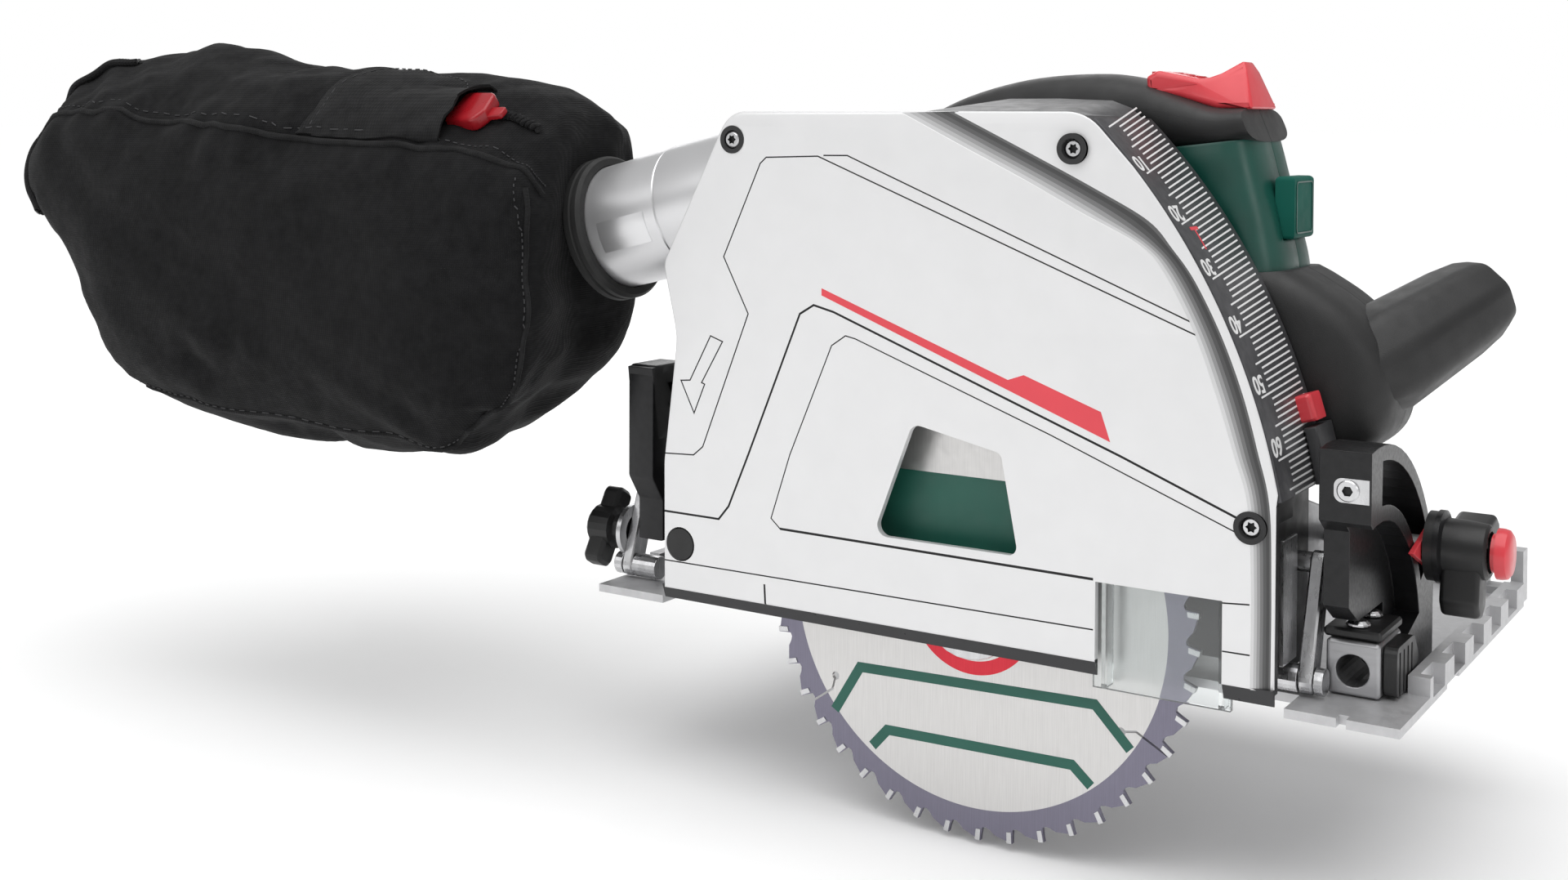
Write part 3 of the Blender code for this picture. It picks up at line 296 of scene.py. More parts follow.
def ribbon(points, width, near, far, closed=False, plane="XZ"):
    """Flat bar of a given width that follows a line, for engraved lines, stripes and welts."""
    sides = ([], [])
    count = len(points)
    for i, point in enumerate(points):
        here = Vector(point)
        before = Vector(points[i - 1]) if closed or i else None
        after = Vector(points[(i + 1) % count]) if closed or i < count - 1 else None
        steps = [(here - before).normalized() if before else None,
                 (after - here).normalized() if after else None]
        steps = [step for step in steps if step]
        run = sum(steps, Vector((0, 0))).normalized()
        across = Vector((-run.y, run.x)) * width / 2 / max(run.dot(steps[0]), 0.4)
        sides[0].append(tuple(here + across))
        sides[1].append(tuple(here - across))
    if closed:
        return plate(plane, sides[0], near, far, holes=(sides[1],))
    return plate(plane, sides[0] + sides[1][::-1], near, far)


def lathe(profile, origin, axis, steps=64, closed=False):
    """Turns (radius, height) pairs about an axis through origin."""
    work = bmesh.new()
    verts = [work.verts.new((r * MM, 0, h * MM)) for r, h in profile]
    pairs = list(zip(verts, verts[1:])) + ([(verts[-1], verts[0])] if closed else [])
    edges = [work.edges.new(pair) for pair in pairs]
    bmesh.ops.spin(work, geom=verts + edges, cent=(0, 0, 0), axis=(0, 0, 1), angle=math.tau, steps=steps,
                   use_duplicate=False)
    mesh = finished(work, "lathe")
    spin = Vector(axis).to_track_quat("Z", "Y").to_matrix().to_4x4()
    mesh.transform(Matrix.Translation(Vector(origin) * MM) @ spin)
    return welded(mesh, 2e-5)


def rod(start, axis, radius, length, steps=32, edge=0.0):
    edge_in = [(radius - edge, length), (radius, length - edge), (radius, edge), (radius - edge, 0)]
    profile = [(0, length), *(edge_in if edge else [(radius, length), (radius, 0)]), (0, 0)]
    return lathe(profile, start, axis, steps)


def block(lowest, highest, rounding=0.0, segments=2):
    (x0, y0, z0), (x1, y1, z1) = lowest, highest
    return plate("XY", [(x0, y0), (x1, y0), (x1, y1), (x0, y1)], z0, z1, rounding, segments=segments)


def tube(points, radius, closed=False, sides=3):
    """Round wire through points in the row frame."""
    curve = bpy.data.curves.new("tube", "CURVE")
    curve.dimensions = "3D"
    curve.bevel_depth = radius * MM
    curve.bevel_resolution = sides
    curve.use_fill_caps = True
    wire = curve.splines.new("POLY")
    wire.points.add(len(points) - 1)
    wire.use_cyclic_u = closed
    for point, place in zip(wire.points, points):
        point.co = (*(Vector(place) * MM), 1)
    return baked(curve)


def merged(*meshes):
    """All the meshes in one, each keeping its own materials."""
    work = bmesh.new()
    slots = []
    for mesh in meshes:
        places = []
        for material in mesh.materials or [None]:
            if material not in slots:
                slots.append(material)
            places.append(slots.index(material))
        start = len(work.faces)
        work.from_mesh(mesh)
        work.faces.ensure_lookup_table()
        for face in work.faces[start:]:
            face.material_index = places[min(face.material_index, len(places) - 1)]
    made = finished(work, "merged")
    for material in slots:
        made.materials.append(material)
    return made


def dressed(mesh, material):
    mesh.materials.clear()
    mesh.materials.append(material)
    mesh.polygons.foreach_set("material_index", [0] * len(mesh.polygons))
    return mesh


def carve(mesh, *cutters, operation="DIFFERENCE"):
    """Exact boolean with each cutter in turn; a cutter's own material shows where it cuts."""
    obj = placed("carve", mesh)
    helpers = []
    for cutter in cutters:
        helper = placed("cutter", cutter)
        helpers.append(helper)
        step = obj.modifiers.new("cut", "BOOLEAN")
        step.operation = operation
        step.solver = "EXACT"
        step.material_mode = "TRANSFER" if len(cutter.materials) else "INDEX"
        step.object = helper
    made = baked(obj)
    for helper in helpers:
        bpy.data.objects.remove(helper, do_unlink=True)
    return made


def edge_bevel(obj, width, segments, angle):
    bevel = obj.modifiers.new("edges", "BEVEL")
    bevel.width = width * MM
    bevel.segments = segments
    bevel.limit_method = "ANGLE"
    bevel.angle_limit = math.radians(angle)


def softened(mesh, width, segments=2, angle=32):
    """Bevels the sharp edges of a finished mesh."""
    obj = bpy.data.objects.new("soften", mesh)
    edge_bevel(obj, width, segments, angle)
    return baked(obj)


def show(name, mesh, node, material=None, whole=False, smooth_angle=34):
    """A piece that rides with a CAD node's body; a whole one stands in for the node."""
    if material:
        dressed(mesh, material)
    obj = placed(name, mesh)
    mesh.shade_smooth()
    mesh.set_sharp_from_angle(angle=math.radians(smooth_angle))
    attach(obj, BODY_OF[node])
    if whole:
        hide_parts(node)
    return obj


def carry(material, width, *nodes):
    """A CAD node that stays: welded, its edges softened, with a procedural finish."""
    for node in nodes:
        obj = frame["nodes"][node]
        obj.data.materials.clear()
        obj.data.materials.append(material)
        weld = obj.modifiers.new("weld", "WELD")
        weld.merge_threshold = 0.00001
        if width:
            edge_bevel(obj, width, 2, 35)
        normals = obj.modifiers.new("normals", "WEIGHTED_NORMAL")
        normals.keep_sharp = True


# ---------------------------------------------------------------- outlines
def polar(centre, radius, degrees):
    turn = math.radians(degrees)
    return centre[0] + radius * math.cos(turn), centre[1] + radius * math.sin(turn)


def arc(centre, radius, start, stop, count):
    return [polar(centre, radius, start + (stop - start) * i / count) for i in range(count + 1)]


def circle(centre, radius, count=48):
    return arc(centre, radius, 0, 360 * (count - 1) / count, count - 1)


def sector(centre, inner, outer, start, stop, count=24):
    return arc(centre, outer, start, stop, count) + arc(centre, inner, stop, start, count)


def rounded(corners, step=8):
    """Replaces each (u, v, radius) corner by an arc; a corner of radius 0 stays sharp."""
    points = []
    count = len(corners)
    for i, (u, v, radius) in enumerate(corners):
        here = Vector((u, v))
        before = (Vector(corners[i - 1][:2]) - here).normalized()
        after = (Vector(corners[(i + 1) % count][:2]) - here).normalized()
        half = before.angle(after) / 2
        if radius == 0 or half > math.radians(88):
            points.append((u, v))
            continue
        middle = here + (before + after).normalized() * radius / math.sin(half)
        start = here + before * radius / math.tan(half) - middle
        stop = here + after * radius / math.tan(half) - middle
        swing = start.angle_signed(stop)
        pieces = max(2, round(abs(math.degrees(swing)) / step))
        for k in range(pieces + 1):
            points.append(tuple(middle + Matrix.Rotation(-swing * k / pieces, 2) @ start))
    return points


def spline(points, pieces=6):
    """Catmull-Rom curve through points of any length, end points doubled."""
    values = [Vector(point) for point in points]
    values = [values[0] * 2 - values[1], *values, values[-1] * 2 - values[-2]]
    made = []
    for a, b, c, d in zip(values, values[1:], values[2:], values[3:]):
        for k in range(pieces):
            t = k / pieces
            made.append((b * 2 + (c - a) * t + (a * 2 - b * 5 + c * 4 - d) * t * t
                         + (b * 3 - a - c * 3 + d) * t ** 3) / 2)
    return made + [values[-2]]


def loft(rings, capped=True):
    """Skin over rings of the same number of points, in millimetres."""
    work = bmesh.new()
    rows = [[work.verts.new(Vector(point) * MM) for point in ring] for ring in rings]
    count = len(rows[0])
    for first, second in zip(rows, rows[1:]):
        for k in range(count):
            work.faces.new((first[k], first[(k + 1) % count], second[(k + 1) % count], second[k]))
    if capped:
        work.faces.new(rows[0])
        work.faces.new(rows[-1])
    bmesh.ops.recalc_face_normals(work, faces=work.faces)
    return finished(work, "loft")


def limb(stations, square, sides=40):
    """Organic grip round the seam's level: each station is an outer and an inner (x, z) point and a width."""
    flat = spline([(*outer, *inner, width, SEAM_Y) for outer, inner, width in stations], 6)
    rings = []
    for ox, oz, ix, iz, width, level in flat:
        centre = Vector(((ox + ix) / 2, level, (oz + iz) / 2))
        reach = Vector((ox - ix, 0, oz - iz)) / 2
        ring = []
        for k in range(sides):
            turn = math.tau * k / sides
            c, s = math.cos(turn), math.sin(turn)
            along = math.copysign(abs(c) ** (2 / square), c)
            across = math.copysign(abs(s) ** (2 / square), s)
            ring.append(centre + reach * along + Vector((0, width / 2 * across, 0)))
        rings.append(ring)
    return loft(rings)


def halves(mesh, level, gap=0.12):
    """The two clamshell halves of a closed form, parted by a thin seam at a level of Y."""
    made = []
    for side in (-1, 1):
        work = bmesh.new()
        work.from_mesh(mesh)
        everything = work.verts[:] + work.edges[:] + work.faces[:]
        cut = bmesh.ops.bisect_plane(work, geom=everything, clear_outer=True, plane_no=(0, -side, 0),
                                     plane_co=(0, (level + side * gap) * MM, 0))
        rim = [item for item in cut["geom_cut"] if isinstance(item, bmesh.types.BMEdge)]
        bmesh.ops.holes_fill(work, edges=rim, sides=0)
        made.append(finished(work, "half"))
    return made


def clamshell(solid, shell, node, material, edge=0.0):
    """Shows the right and the left half of a closed form, in place of a CAD node each."""
    for side, half in zip(("right", "left"), halves(solid, SEAM_Y)):
        half = softened(half, edge) if edge else half
        show(f"{shell}_{side}", half, f"{node}_{side}", material, whole=True)


def motor_bore():
    return rod((MOTOR[0], -60, MOTOR[1]), (0, 1, 0), MOTOR_R + 0.5, 80, 96)


# ---------------------------------------------------------------- guard
FACE = COVER_Y[0]
BORDER = FACE + 1.6
COVER_SCREWS = [(mid(f"cover_screw_{i}").x, mid(f"cover_screw_{i}").z) for i in (1, 2, 3)]
CREASE_IN = [(-21, 189.0), (1.6, 178.0), (24, 167.3), (45.5, 156.3), (65, 146.6), (74, 137.5), (84, 119),
             (91.5, 99), (97, 81.8), (101.6, 66), (102.9, 40), (102.9, 8.2)]
CREASE_OUT = [(-1, 189.4), (28.3, 175.4), (53.8, 162.8), (70.4, 153.6), (77, 145), (84.2, 135), (92.5, 119),
              (99.6, 101), (104.6, 83), (108.4, 66), (109.2, 40), (109.2, 8.2)]
LINE_TOP = [(-124, 59), (-110, 59.7), (-105.8, 63.2), (-85.6, 114.6), (-96.6, 135.3), (-80.6, 170.3),
            (-78, 172.6), (-56, 173.3), (92.5, 115)]
LINE_EDGE = [(-53.6, 173.6), (-43.8, 173.7), (84.8, 121.4), (89.9, 120.9)]
LINE_OUTER = [(-124.6, 36.9), (-98.4, 36.8), (-94, 42.1), (-85.3, 62.4), (-63.2, 116), (-57.4, 119.5),
              (-49.1, 117.5), (59.5, 77), (100.1, 60.8)]
LINE_INNER = [(50.3, 35.5), (-71.3, 36.6), (-75.2, 40), (-67.2, 64.3), (-49.8, 105.4), (-44.1, 109.3),
              (-40.1, 108.5), (34.5, 81.7), (97.6, 57.1)]
ARROW = [(-102.4, 105.3), (-97, 103.5), (-106.4, 87.4), (-105, 86.9), (-109.8, 75.6), (-115.9, 87.5),
         (-111.7, 87.9)]
STRIPE = [(-54.1, 125.8), (19.2, 98.7), (25, 100.8), (52.5, 90.9), (55.8, 81.3), (-54.1, 123.2)]

# Engraved lines: points, width and whether the line is closed
LINES = [(LINE_TOP, 0.5), (LINE_EDGE, 0.5), (LINE_OUTER, 0.8), (LINE_INNER, 0.45), (LINE_INNER[:2], 0.9),
         (ARROW, 0.5, True), ([(-124.5, 18.1), (50.4, 18.8)], 0.5), ([(93.6, 18.9), (102.4, 19)], 0.5),
         ([(93.5, 34.2), (102.2, 34.9)], 0.5), ([(-78, 15.2), (-77.5, 7), (-74.5, 4)], 0.8)]


def guard_outline(shrink=0.0):
    foot, bottom, top = -124.5 + shrink, low("guard_cover").z + shrink, high("guard_cover").z
    rear = [(foot, bottom, 0), (foot - 0.3, 56, 30), (-119 + shrink, 104, 24),
            (-125.4 + shrink, 131 + shrink / 2, 8), (-96 + shrink, top - shrink, 12)]
    corner = math.degrees(math.asin((top - shrink - PIVOT[1]) / RIM_R))
    stop = math.degrees(math.asin((70 - PIVOT[1]) / RIM_R))
    rim = RIM_R - shrink
    first = rounded(rear + [(*polar(PIVOT, rim, corner), 16), (*polar(PIVOT, rim, corner - 6), 0)])[:-1]
    return first + arc(PIVOT, rim, corner - 6, stop, 30) + [(110 - shrink, 66), (110 - shrink, bottom)]


def cover_panel(shrink):
    """The raised main panel: the guard's outline as far as the crease."""
    outline = [point for point in guard_outline(shrink) if point[0] < -60]
    return outline + [tuple(point) for point in spline(CREASE_IN)]


def crease():
    """The rounded step between the main panel and its lower border, its strips coloured with painted shade
    and reflection, darker towards its foot.
    """
    inner, outer = spline(CREASE_IN, 8), spline(CREASE_OUT, 8)
    steps = ((-0.04, 0.0), (0.10, 0.06), (0.24, 0.22), (0.38, 0.48), (0.52, 0.80), (0.66, 1.12), (0.80, 1.38),
             (0.92, 1.54), (1.0, 1.62))
    strips = []
    # Each strip takes its own grey of painted shade and reflection
    for painted_shade, (first, second) in zip(CREASE_PAINTED_SHADE, zip(steps, steps[1:])):
        rings = []
        for a, b in zip(inner, outer):
            (s0, d0), (s1, d1) = first, second
            p, q = a.lerp(b, s0), a.lerp(b, s1)
            rings.append([(p.x, FACE + 0.1 + d0, p.y), (q.x, FACE + 0.1 + d1, q.y), (q.x, COVER_Y[1], q.y),
                          (p.x, COVER_Y[1], p.y)])
        strips.append(dressed(loft(rings), painted_shade))
    return strips


# Engraved line; where it cuts, its painted groove shade shows
def engraving(points, width, closed=False):
    return dressed(ribbon(points, width, FACE - 0.5, FACE + 0.35, closed), GROOVE_PAINTED_SHADE)


def make_cover():
    window = rounded([(-17, 80.5, 4), (-32.5, 39.3, 4), (23.4, 39.3, 3), (16.8, 73.5, 3)])
    slot = [(51, 0), (51, 34.8), (93.5, 34.8), (93.5, 0)]
    openings = [plate("XZ", shape, FACE - 1, COVER_Y[1] + 1) for shape in (window, slot)]
    openings += [rod((x, FACE - 2, z), (0, 1, 0), radius, 8)
                 for (x, z), radius in zip([*COVER_SCREWS, PIVOT], (5.2, 5.2, 5.2, 6.5))]
    panel = dressed(plate("XZ", cover_panel(1.0), FACE, BORDER + 0.2, 0.7, segments=3), PAINT_SILVER)
    panel = carve(panel, *openings, *(engraving(*line) for line in LINES))
    border = dressed(plate("XZ", guard_outline(0.4), BORDER, COVER_Y[1], 0.5), PAINT_SILVER)
    border = carve(border, *openings)
    step = [carve(strip, *openings[2:5]) for strip in crease()]
    # Lower bevel along the cover's foot, coloured with painted shade and reflection
    edge = [(FACE + 0.1, 8.8), (COVER_Y[1] - 0.6, 3.4), (COVER_Y[1], 3.4), (COVER_Y[1], 8.8)]
    sill = [dressed(plate("YZ", edge, x0, x1), PAINTED_SILL_SHADE) for x0, x1 in ((-124.4, 51), (93.5, 109.6))]
    show("cover_panel", merged(panel, border, *step, *sill), "guard_cover", whole=True)
    show("cover_stripe", plate("XZ", STRIPE, FACE - 0.05, FACE + 0.1), "guard_cover", RED_PRINT)
    # Recessed rings round the cover screws, coloured with painted shade
    collars = [lathe([(5.2, 0.25), (3.5, 0.25), (3.3, -2.0), (5.2, -0.1)], (x, FACE, z), (0, -1, 0), 48, True)
               for x, z in COVER_SCREWS]
    show("screw_collars", merged(*collars), "guard_cover", GROOVE_PAINTED_SHADE)
    for i, (x, z) in enumerate(COVER_SCREWS):
        level = (BORDER if i else FACE) + 0.3
        socket = [polar((x, z), 1.25 if k % 2 else 1.9, 30 * k) for k in range(12)]
        head = rod((x, level + 1.8, z), (0, -1, 0), 3.2, 2.4, 40, 0.7)
        # Screw socket, its inside coloured with painted shade
        well = dressed(plate("XZ", socket, level - 2, level + 0.8), GROOVE_PAINTED_SHADE)
        show(f"torx_screw_{i + 1}", carve(dressed(head, STEEL), well), f"cover_screw_{i + 1}", whole=True)


def make_scale():
    """Dark band along the guard's arc with millimetre ticks and generic numbers."""
    near, far = SHELL_Y
    band = sector(PIVOT, RIM_R - 1.7, RIM_R, 10.6, 44.6, 60)
    show("scale_band", plate("XZ", band, near, far, 0.35), "depth_scale", BAND, whole=True)
    ticks = [scale_tick(millimetre, near, far) for millimetre in range(67)]
    ticks += [number_on_scale(str(number), scale_angle(number) + 1.1) for number in range(10, 61, 10)]
    show("scale_print", merged(*ticks), "depth_scale", WHITE)
    red = [plate("XZ", sector(PIVOT, RIM_R - 0.2, RIM_R + 0.09, *angles, count), near + start, near + stop)
           for angles, count, start, stop in (((33.0, 33.3), 1, 10, 17), ((31.2, 33.0), 2, 13, 14))]
    show("scale_pointer", merged(*red), "depth_scale", RED_PRINT)


def scale_angle(millimetre):
    return 43.6 - 0.4985 * millimetre


def scale_tick(millimetre, near, far):
    """One printed line, leaning up the arc towards the far side."""
    start = near + (5 if millimetre % 10 == 0 else 10 if millimetre % 5 == 0 else 14.5)
    lean = (1.75 - 0.025 * millimetre) / 31
    rings = []
    for level in (start, far - 4):
        angle = scale_angle(millimetre) + lean * (level - near - 5)
        corners = sector(PIVOT, RIM_R - 0.2, RIM_R + 0.06, angle - 0.075, angle + 0.075, 1)
        rings.append([(x, level, z) for x, z in corners])
    return loft(rings)


def number_on_scale(words, angle):
    """Number that reads across the band, its foot up the arc."""
    text = bpy.data.curves.new("number", "FONT")
    text.body = words
    text.size = 8.6 * MM
    text.extrude = 0.12 * MM
    text.offset = 0.15 * MM
    text.align_x = "CENTER"
    text.align_y = "CENTER"
    mesh = baked(text)
    x, z = polar(PIVOT, RIM_R + 0.03, angle)
    turn = math.radians(angle)
    outward = Vector((math.cos(turn), 0, math.sin(turn)))
    reading = Vector((0, -1, 0))
    place = Matrix((reading * 1.1, outward.cross(reading) * 0.95, outward)).transposed().to_4x4()
    place.translation = Vector((x, SHELL_Y[0] + 6.3, z)) * MM
    mesh.transform(place)
    return mesh


# ---------------------------------------------------------------- blade
def make_blade():
    teeth, gullet, pitch = 42, 4.7, 360 / 42
    starts = [-1.7 + i * pitch for i in range(teeth)]
    tooth = ((0, 0), (2.6, 0.35), (gullet, 0.75), (gullet + 0.2, 1.7), (gullet - 0.5, 2.7), (2.6, 3.9),
             (1.4, 6.2), (0.15, pitch - 0.25))
    points = [polar(SPINDLE, BLADE_R - depth, start + ahead) for start in starts for depth, ahead in tooth]
    disc = plate("XZ", points, BLADE_Y - 0.8, BLADE_Y + 0.8, holes=(circle(SPINDLE, 10),))
    slots = []
    for angle in (-145, -28.8, 35, 95, 155):
        hole = polar(SPINDLE, BLADE_R - 17.5, angle - 3)
        bend = polar(SPINDLE, BLADE_R - 13.5, angle)
        slots.append(rod((hole[0], BLADE_Y - 2, hole[1]), (0, 1, 0), 1.5, 4, 20))
        slots.append(ribbon([hole, bend, polar(SPINDLE, BLADE_R + 2, angle)], 0.8, BLADE_Y - 2, BLADE_Y + 2))
    disc = carve(disc, *slots)
    tip = ((0, -0.15), (4.0, 0.25), (4.0, -1.0), (0.3, -1.4))
    tips = [plate("XZ", [polar(SPINDLE, BLADE_R - depth, start + ahead) for depth, ahead in tip],
                  BLADE_Y - 1.15, BLADE_Y + 1.15) for start in starts]
    show("blade_disc", disc, "saw_blade", DISC, whole=True)
    show("blade_tips", merged(*tips), "saw_blade", STEEL)
    stripes = []
    for line in ([(-55.3, -30.5), (-44.8, -13), (45.8, -10.2), (58.4, -23.2)],
                 [(-39.5, -40.8), (-33.4, -33.9), (37.8, -32.3), (44.6, -38.2)]):
        stripes.append(ribbon(line, 3.6, BLADE_Y - 0.86, BLADE_Y - 0.7))
    field = rounded([(-58, 61.5, 2), (-46, 32, 3), (46, 32, 3), (58, 61.5, 2)])
    stripes.append(plate("XZ", field, BLADE_Y - 0.86, BLADE_Y - 0.7))
    show("blade_print", merged(*stripes), "saw_blade", GREEN_PRINT)


# ---------------------------------------------------------------- dust bag
MOUTH = Vector((high("bag_collar").x, mid("bag_collar").y, mid("bag_collar").z))
BAG_FRONT = MOUTH.x - 9
# Outlines in (X, Z) from the near panel to the far one, each from the rear top round by the bottom
BAG_SECTIONS = [
    (-136.5, [(-462, 176), (-466, 156), (-440, 115), (-418, 87), (-392, 72), (-331, 68), (-220, 66),
              (-194, 74), (-182, 90), (-178, 122), (-179, 150), (-188, 157), (-230, 163), (-306, 168),
              (-405, 175)]),
    (-133.0, [(-472, 184), (-476, 157), (-447, 109), (-425, 78), (-396, 62), (-331, 57), (-222, 55),
              (-192, 63), (-174, 82), (-168, 122), (-168, 156), (-178, 165), (-225, 171), (-306, 176),
              (-413, 184)]),
    (-118.0, [(-480, 196), (-485, 160), (-458, 110), (-432, 74), (-398, 57), (-331, 52), (-220, 50),
              (-200, 63), (-178, 88), (-172, 122), (-172, 162), (-180, 174), (-225, 181), (-306, 189),
              (-420, 198)]),
    (-90.0, [(-484, 208), (-488, 165), (-464, 112), (-436, 74), (-400, 56), (-331, 50), (-236, 50),
             (-206, 64), (-184, 92), (-180, 122), (-179, 172), (-186, 188), (-225, 199), (-306, 209),
             (-430, 217)]),
    (-62.0, [(-478, 212), (-484, 165), (-462, 112), (-434, 76), (-400, 58), (-331, 52), (-238, 52),
             (-206, 68), (-184, 96), (-180, 124), (-179, 174), (-188, 193), (-225, 203), (-306, 213),
             (-425, 222)]),
    (-42.0, [(-462, 203), (-470, 160), (-450, 114), (-426, 82), (-398, 66), (-331, 60), (-240, 61),
             (-208, 76), (-186, 100), (-181, 126), (-182, 166), (-192, 184), (-230, 194), (-306, 203),
             (-410, 211)]),
    (-33.0, [(-444, 186), (-452, 156), (-436, 120), (-416, 92), (-392, 78), (-331, 74), (-240, 74),
             (-208, 86), (-194, 106), (-190, 128), (-192, 156), (-204, 170), (-236, 178), (-306, 186),
             (-396, 193)]),
]
TOP_SEAM = [(-476, -124, 176), (-470, -128, 188), (-413, -128, 186), (-306, -128, 178), (-225, -128, 173),
            (-176, -127, 166), (-166, -120, 158)]
SIDE_SEAM = [(-170, -131, 160), (-167, -131, 122), (-172, -131, 82), (-187, -131, 62), (-218, -131, 54),
             (-331, -131, 55), (-398, -131, 60)]
ZIP_LINE = [(-448, -92, 216), (-462, -98, 212), (-480, -108, 198), (-486, -118, 176), (-480, -128, 158),
            (-468, -132, 142)]
FLAP = [(-300, -124, 178), (-236, -122, 176), (-232, -108, 186), (-228, -92, 198), (-262, -86, 203),
        (-288, -98, 198)]
# Raised pocket over the clip: near edge, then far edge, each from its closed end to its open end
HOOD = [(-290, -126, 178), (-219, -124, 174), (-280, -98, 200), (-216, -94, 197)]


def bag_form():
    """The bag before it is blown up."""
    rings = []
    for y, outline in BAG_SECTIONS:
        loop = spline(outline + outline[:1], 4)[:-1]
        rings.append([(point.x, y, point.y) for point in loop])
    return loft(rings)


def blown_up(mesh, pressure, frames, cap, voxel=0.0055):
    """Cloth under inner pressure: the panels swell and pull in; no point moves further than cap."""
    obj = bpy.data.objects.new("cloth", mesh)
    grid = obj.modifiers.new("grid", "REMESH")
    grid.mode = "VOXEL"
    grid.voxel_size = voxel
    start = baked(obj)
    rest = [vert.co.copy() for vert in start.vertices]
    obj = placed("cloth", start)
    pins = obj.vertex_groups.new(name="pins")
    ring = [v.index for v in start.vertices
            if v.co.x > (BAG_FRONT - 12) * MM and (v.co / MM - MOUTH).length < 44]
    pins.add(ring, 1.0, "REPLACE")
    cloth = obj.modifiers.new("cloth", "CLOTH")
    settings = {"quality": 6, "mass": 0.25, "tension_stiffness": 14, "compression_stiffness": 14,
                "shear_stiffness": 6, "bending_stiffness": 0.5, "vertex_group_mass": "pins",
                "use_pressure": True, "uniform_pressure_force": pressure}
    for key, value in settings.items():
        setattr(cloth.settings, key, value)
    cloth.settings.effector_weights.gravity = 0
    for number in range(1, frames + 1):
        bpy.context.scene.frame_set(number)
    moved = baked(obj)
    bpy.context.scene.frame_set(1)
    for vert, before in zip(moved.vertices, rest):
        step = vert.co - before
        if step.length > cap * MM:
            vert.co = before + step.normalized() * cap * MM
    return moved


def sag(place, normal):
    """Depth of the soft folds at a place: long ones that hang down and back, small ones near the seams."""
    lean = place.z + 0.55 * place.x
    hang = noise.noise(Vector((lean / 30, place.y / 60, (place.x - 0.4 * place.z) / 105)))
    swell = noise.noise(Vector((place.x / 60 + 5, place.y / 42, place.z / 46)))
    pucker = noise.noise(Vector((place.x / 11, place.y / 14 + 3, place.z / 24)))
    near_seam = math.exp(-((place.z - 182 + 0.07 * (place.x + 320)) / 14) ** 2)
    top = max(0.0, normal.z)
    ridge = 1 - abs(noise.noise(Vector((lean / 21 + 9, place.y / 50, (place.x - 0.4 * place.z) / 90)))) * 2.4
    return (4.4 * hang + 3.2 * swell + 2.2 * ridge + pucker * (0.6 + 2.2 * near_seam + 1.6 * top)
            - 3.2 * near_seam * (1 - top))


def make_bag():
    form = blown_up(bag_form(), 4.0, 20, 7)
    for vert in form.vertices:
        place = vert.co / MM
        calm = max(0.0, min(1.0, ((place - MOUTH).length - 30) / 25))
        vert.co += vert.normal * sag(place, vert.normal) * calm * MM
    obj = bpy.data.objects.new("fold", form)
    soft = obj.modifiers.new("soft", "SUBSURF")
    soft.levels = soft.render_levels = 1
    cloth = baked(obj)
    skin = BVHTree.FromPolygons([vert.co for vert in cloth.vertices],
                                [face.vertices for face in cloth.polygons])
    bag = show("bag_cloth", cloth, "dust_bag", FABRIC, whole=True, smooth_angle=80)

    def on_skin(place, lift=0.0):
        spot, normal = skin.find_nearest(Vector(place) * MM)[:2]
        return spot / MM + normal * lift, normal

    def laid(line, lift, pieces=14):
        return [on_skin(point, lift)[0] for point in spline(line, pieces)]

    piping = merged(tube(laid(TOP_SEAM, 0.3), 1.3), tube(laid(SIDE_SEAM, 0.2), 1.1))
    show("bag_piping", piping, "dust_bag", TAPE)
    runs = [laid([tuple(Vector(point) + Vector(offset)) for point in line], 0.25, 30)
            for line, offset in ((TOP_SEAM, (0, 3.5, 3.5)), (SIDE_SEAM, (-5, 0, 3)))]
    path = laid(FLAP + FLAP[:1], 1.6, 16)
    middle = sum(path, Vector()) / len(path)
    runs.append([on_skin(middle.lerp(point, 0.88), 2.1)[0] for point in path])
    stitches = [tube(run[i:i + 2], 0.28, sides=1) for run in runs for i in range(0, len(run) - 1, 2)]
    show("bag_stitches", merged(*stitches), "dust_bag", THREAD)
    rings = [[on_skin(middle.lerp(point, share), lift)[0] for point in path[:-1]]
             for share, lift in ((1.0, -0.5), (1.0, 1.4), (0.8, 2.2), (0.5, 2.6), (0.2, 2.6))]
    show("bag_flap", loft(rings), "dust_bag", TAPE, smooth_angle=60)
    hood = []
    for k in range(13):
        t = k / 12
        near, far = Vector(HOOD[0]).lerp(Vector(HOOD[1]), t), Vector(HOOD[2]).lerp(Vector(HOOD[3]), t)
        arch = [on_skin(near.lerp(far, i / 12), 1.2 + 9.5 * t ** 1.4 * math.sin(math.pi * i / 12) ** 0.7)
                for i in range(13)]
        inside = [place - normal * 1.1 for place, normal in arch[::-1]]
        hood.append([place for place, normal in arch] + inside)
    show("bag_hood", loft(hood), "dust_bag", TAPE, smooth_angle=60)
    make_zip(on_skin, laid)
    make_buckle(on_skin)


def make_zip(on_skin, laid):
    """Coil zip round the rear end: two tapes with fine teeth between them."""
    path = laid(ZIP_LINE, 0.3, 22)
    for _ in range(14):
        path = [path[0]] + [(a + b + c) / 3 for a, b, c in zip(path, path[1:], path[2:])] + [path[-1]]
    show("zip_tape", merged(*[tube([point + Vector((0, dy, dz)) for point in path], 1.7)
                              for dy, dz in ((-1.7, 0.9), (1.7, -0.9))]), "dust_bag", TAPE)
    teeth = []
    for i, (a, b) in enumerate(zip(path, path[1:])):
        run = (b - a).normalized()
        out = on_skin(a)[1]
        side = run.cross(out).normalized()
        for k in range(2):
            centre = a.lerp(b, k / 2) + out * 1.5 + side * (0.9 if (i + k) % 2 else -0.9)
            teeth.append(tube([centre - side * 1.4, centre + side * 1.4], 0.7, sides=1))
    show("zip_teeth", merged(*teeth), "dust_bag", BLACK)


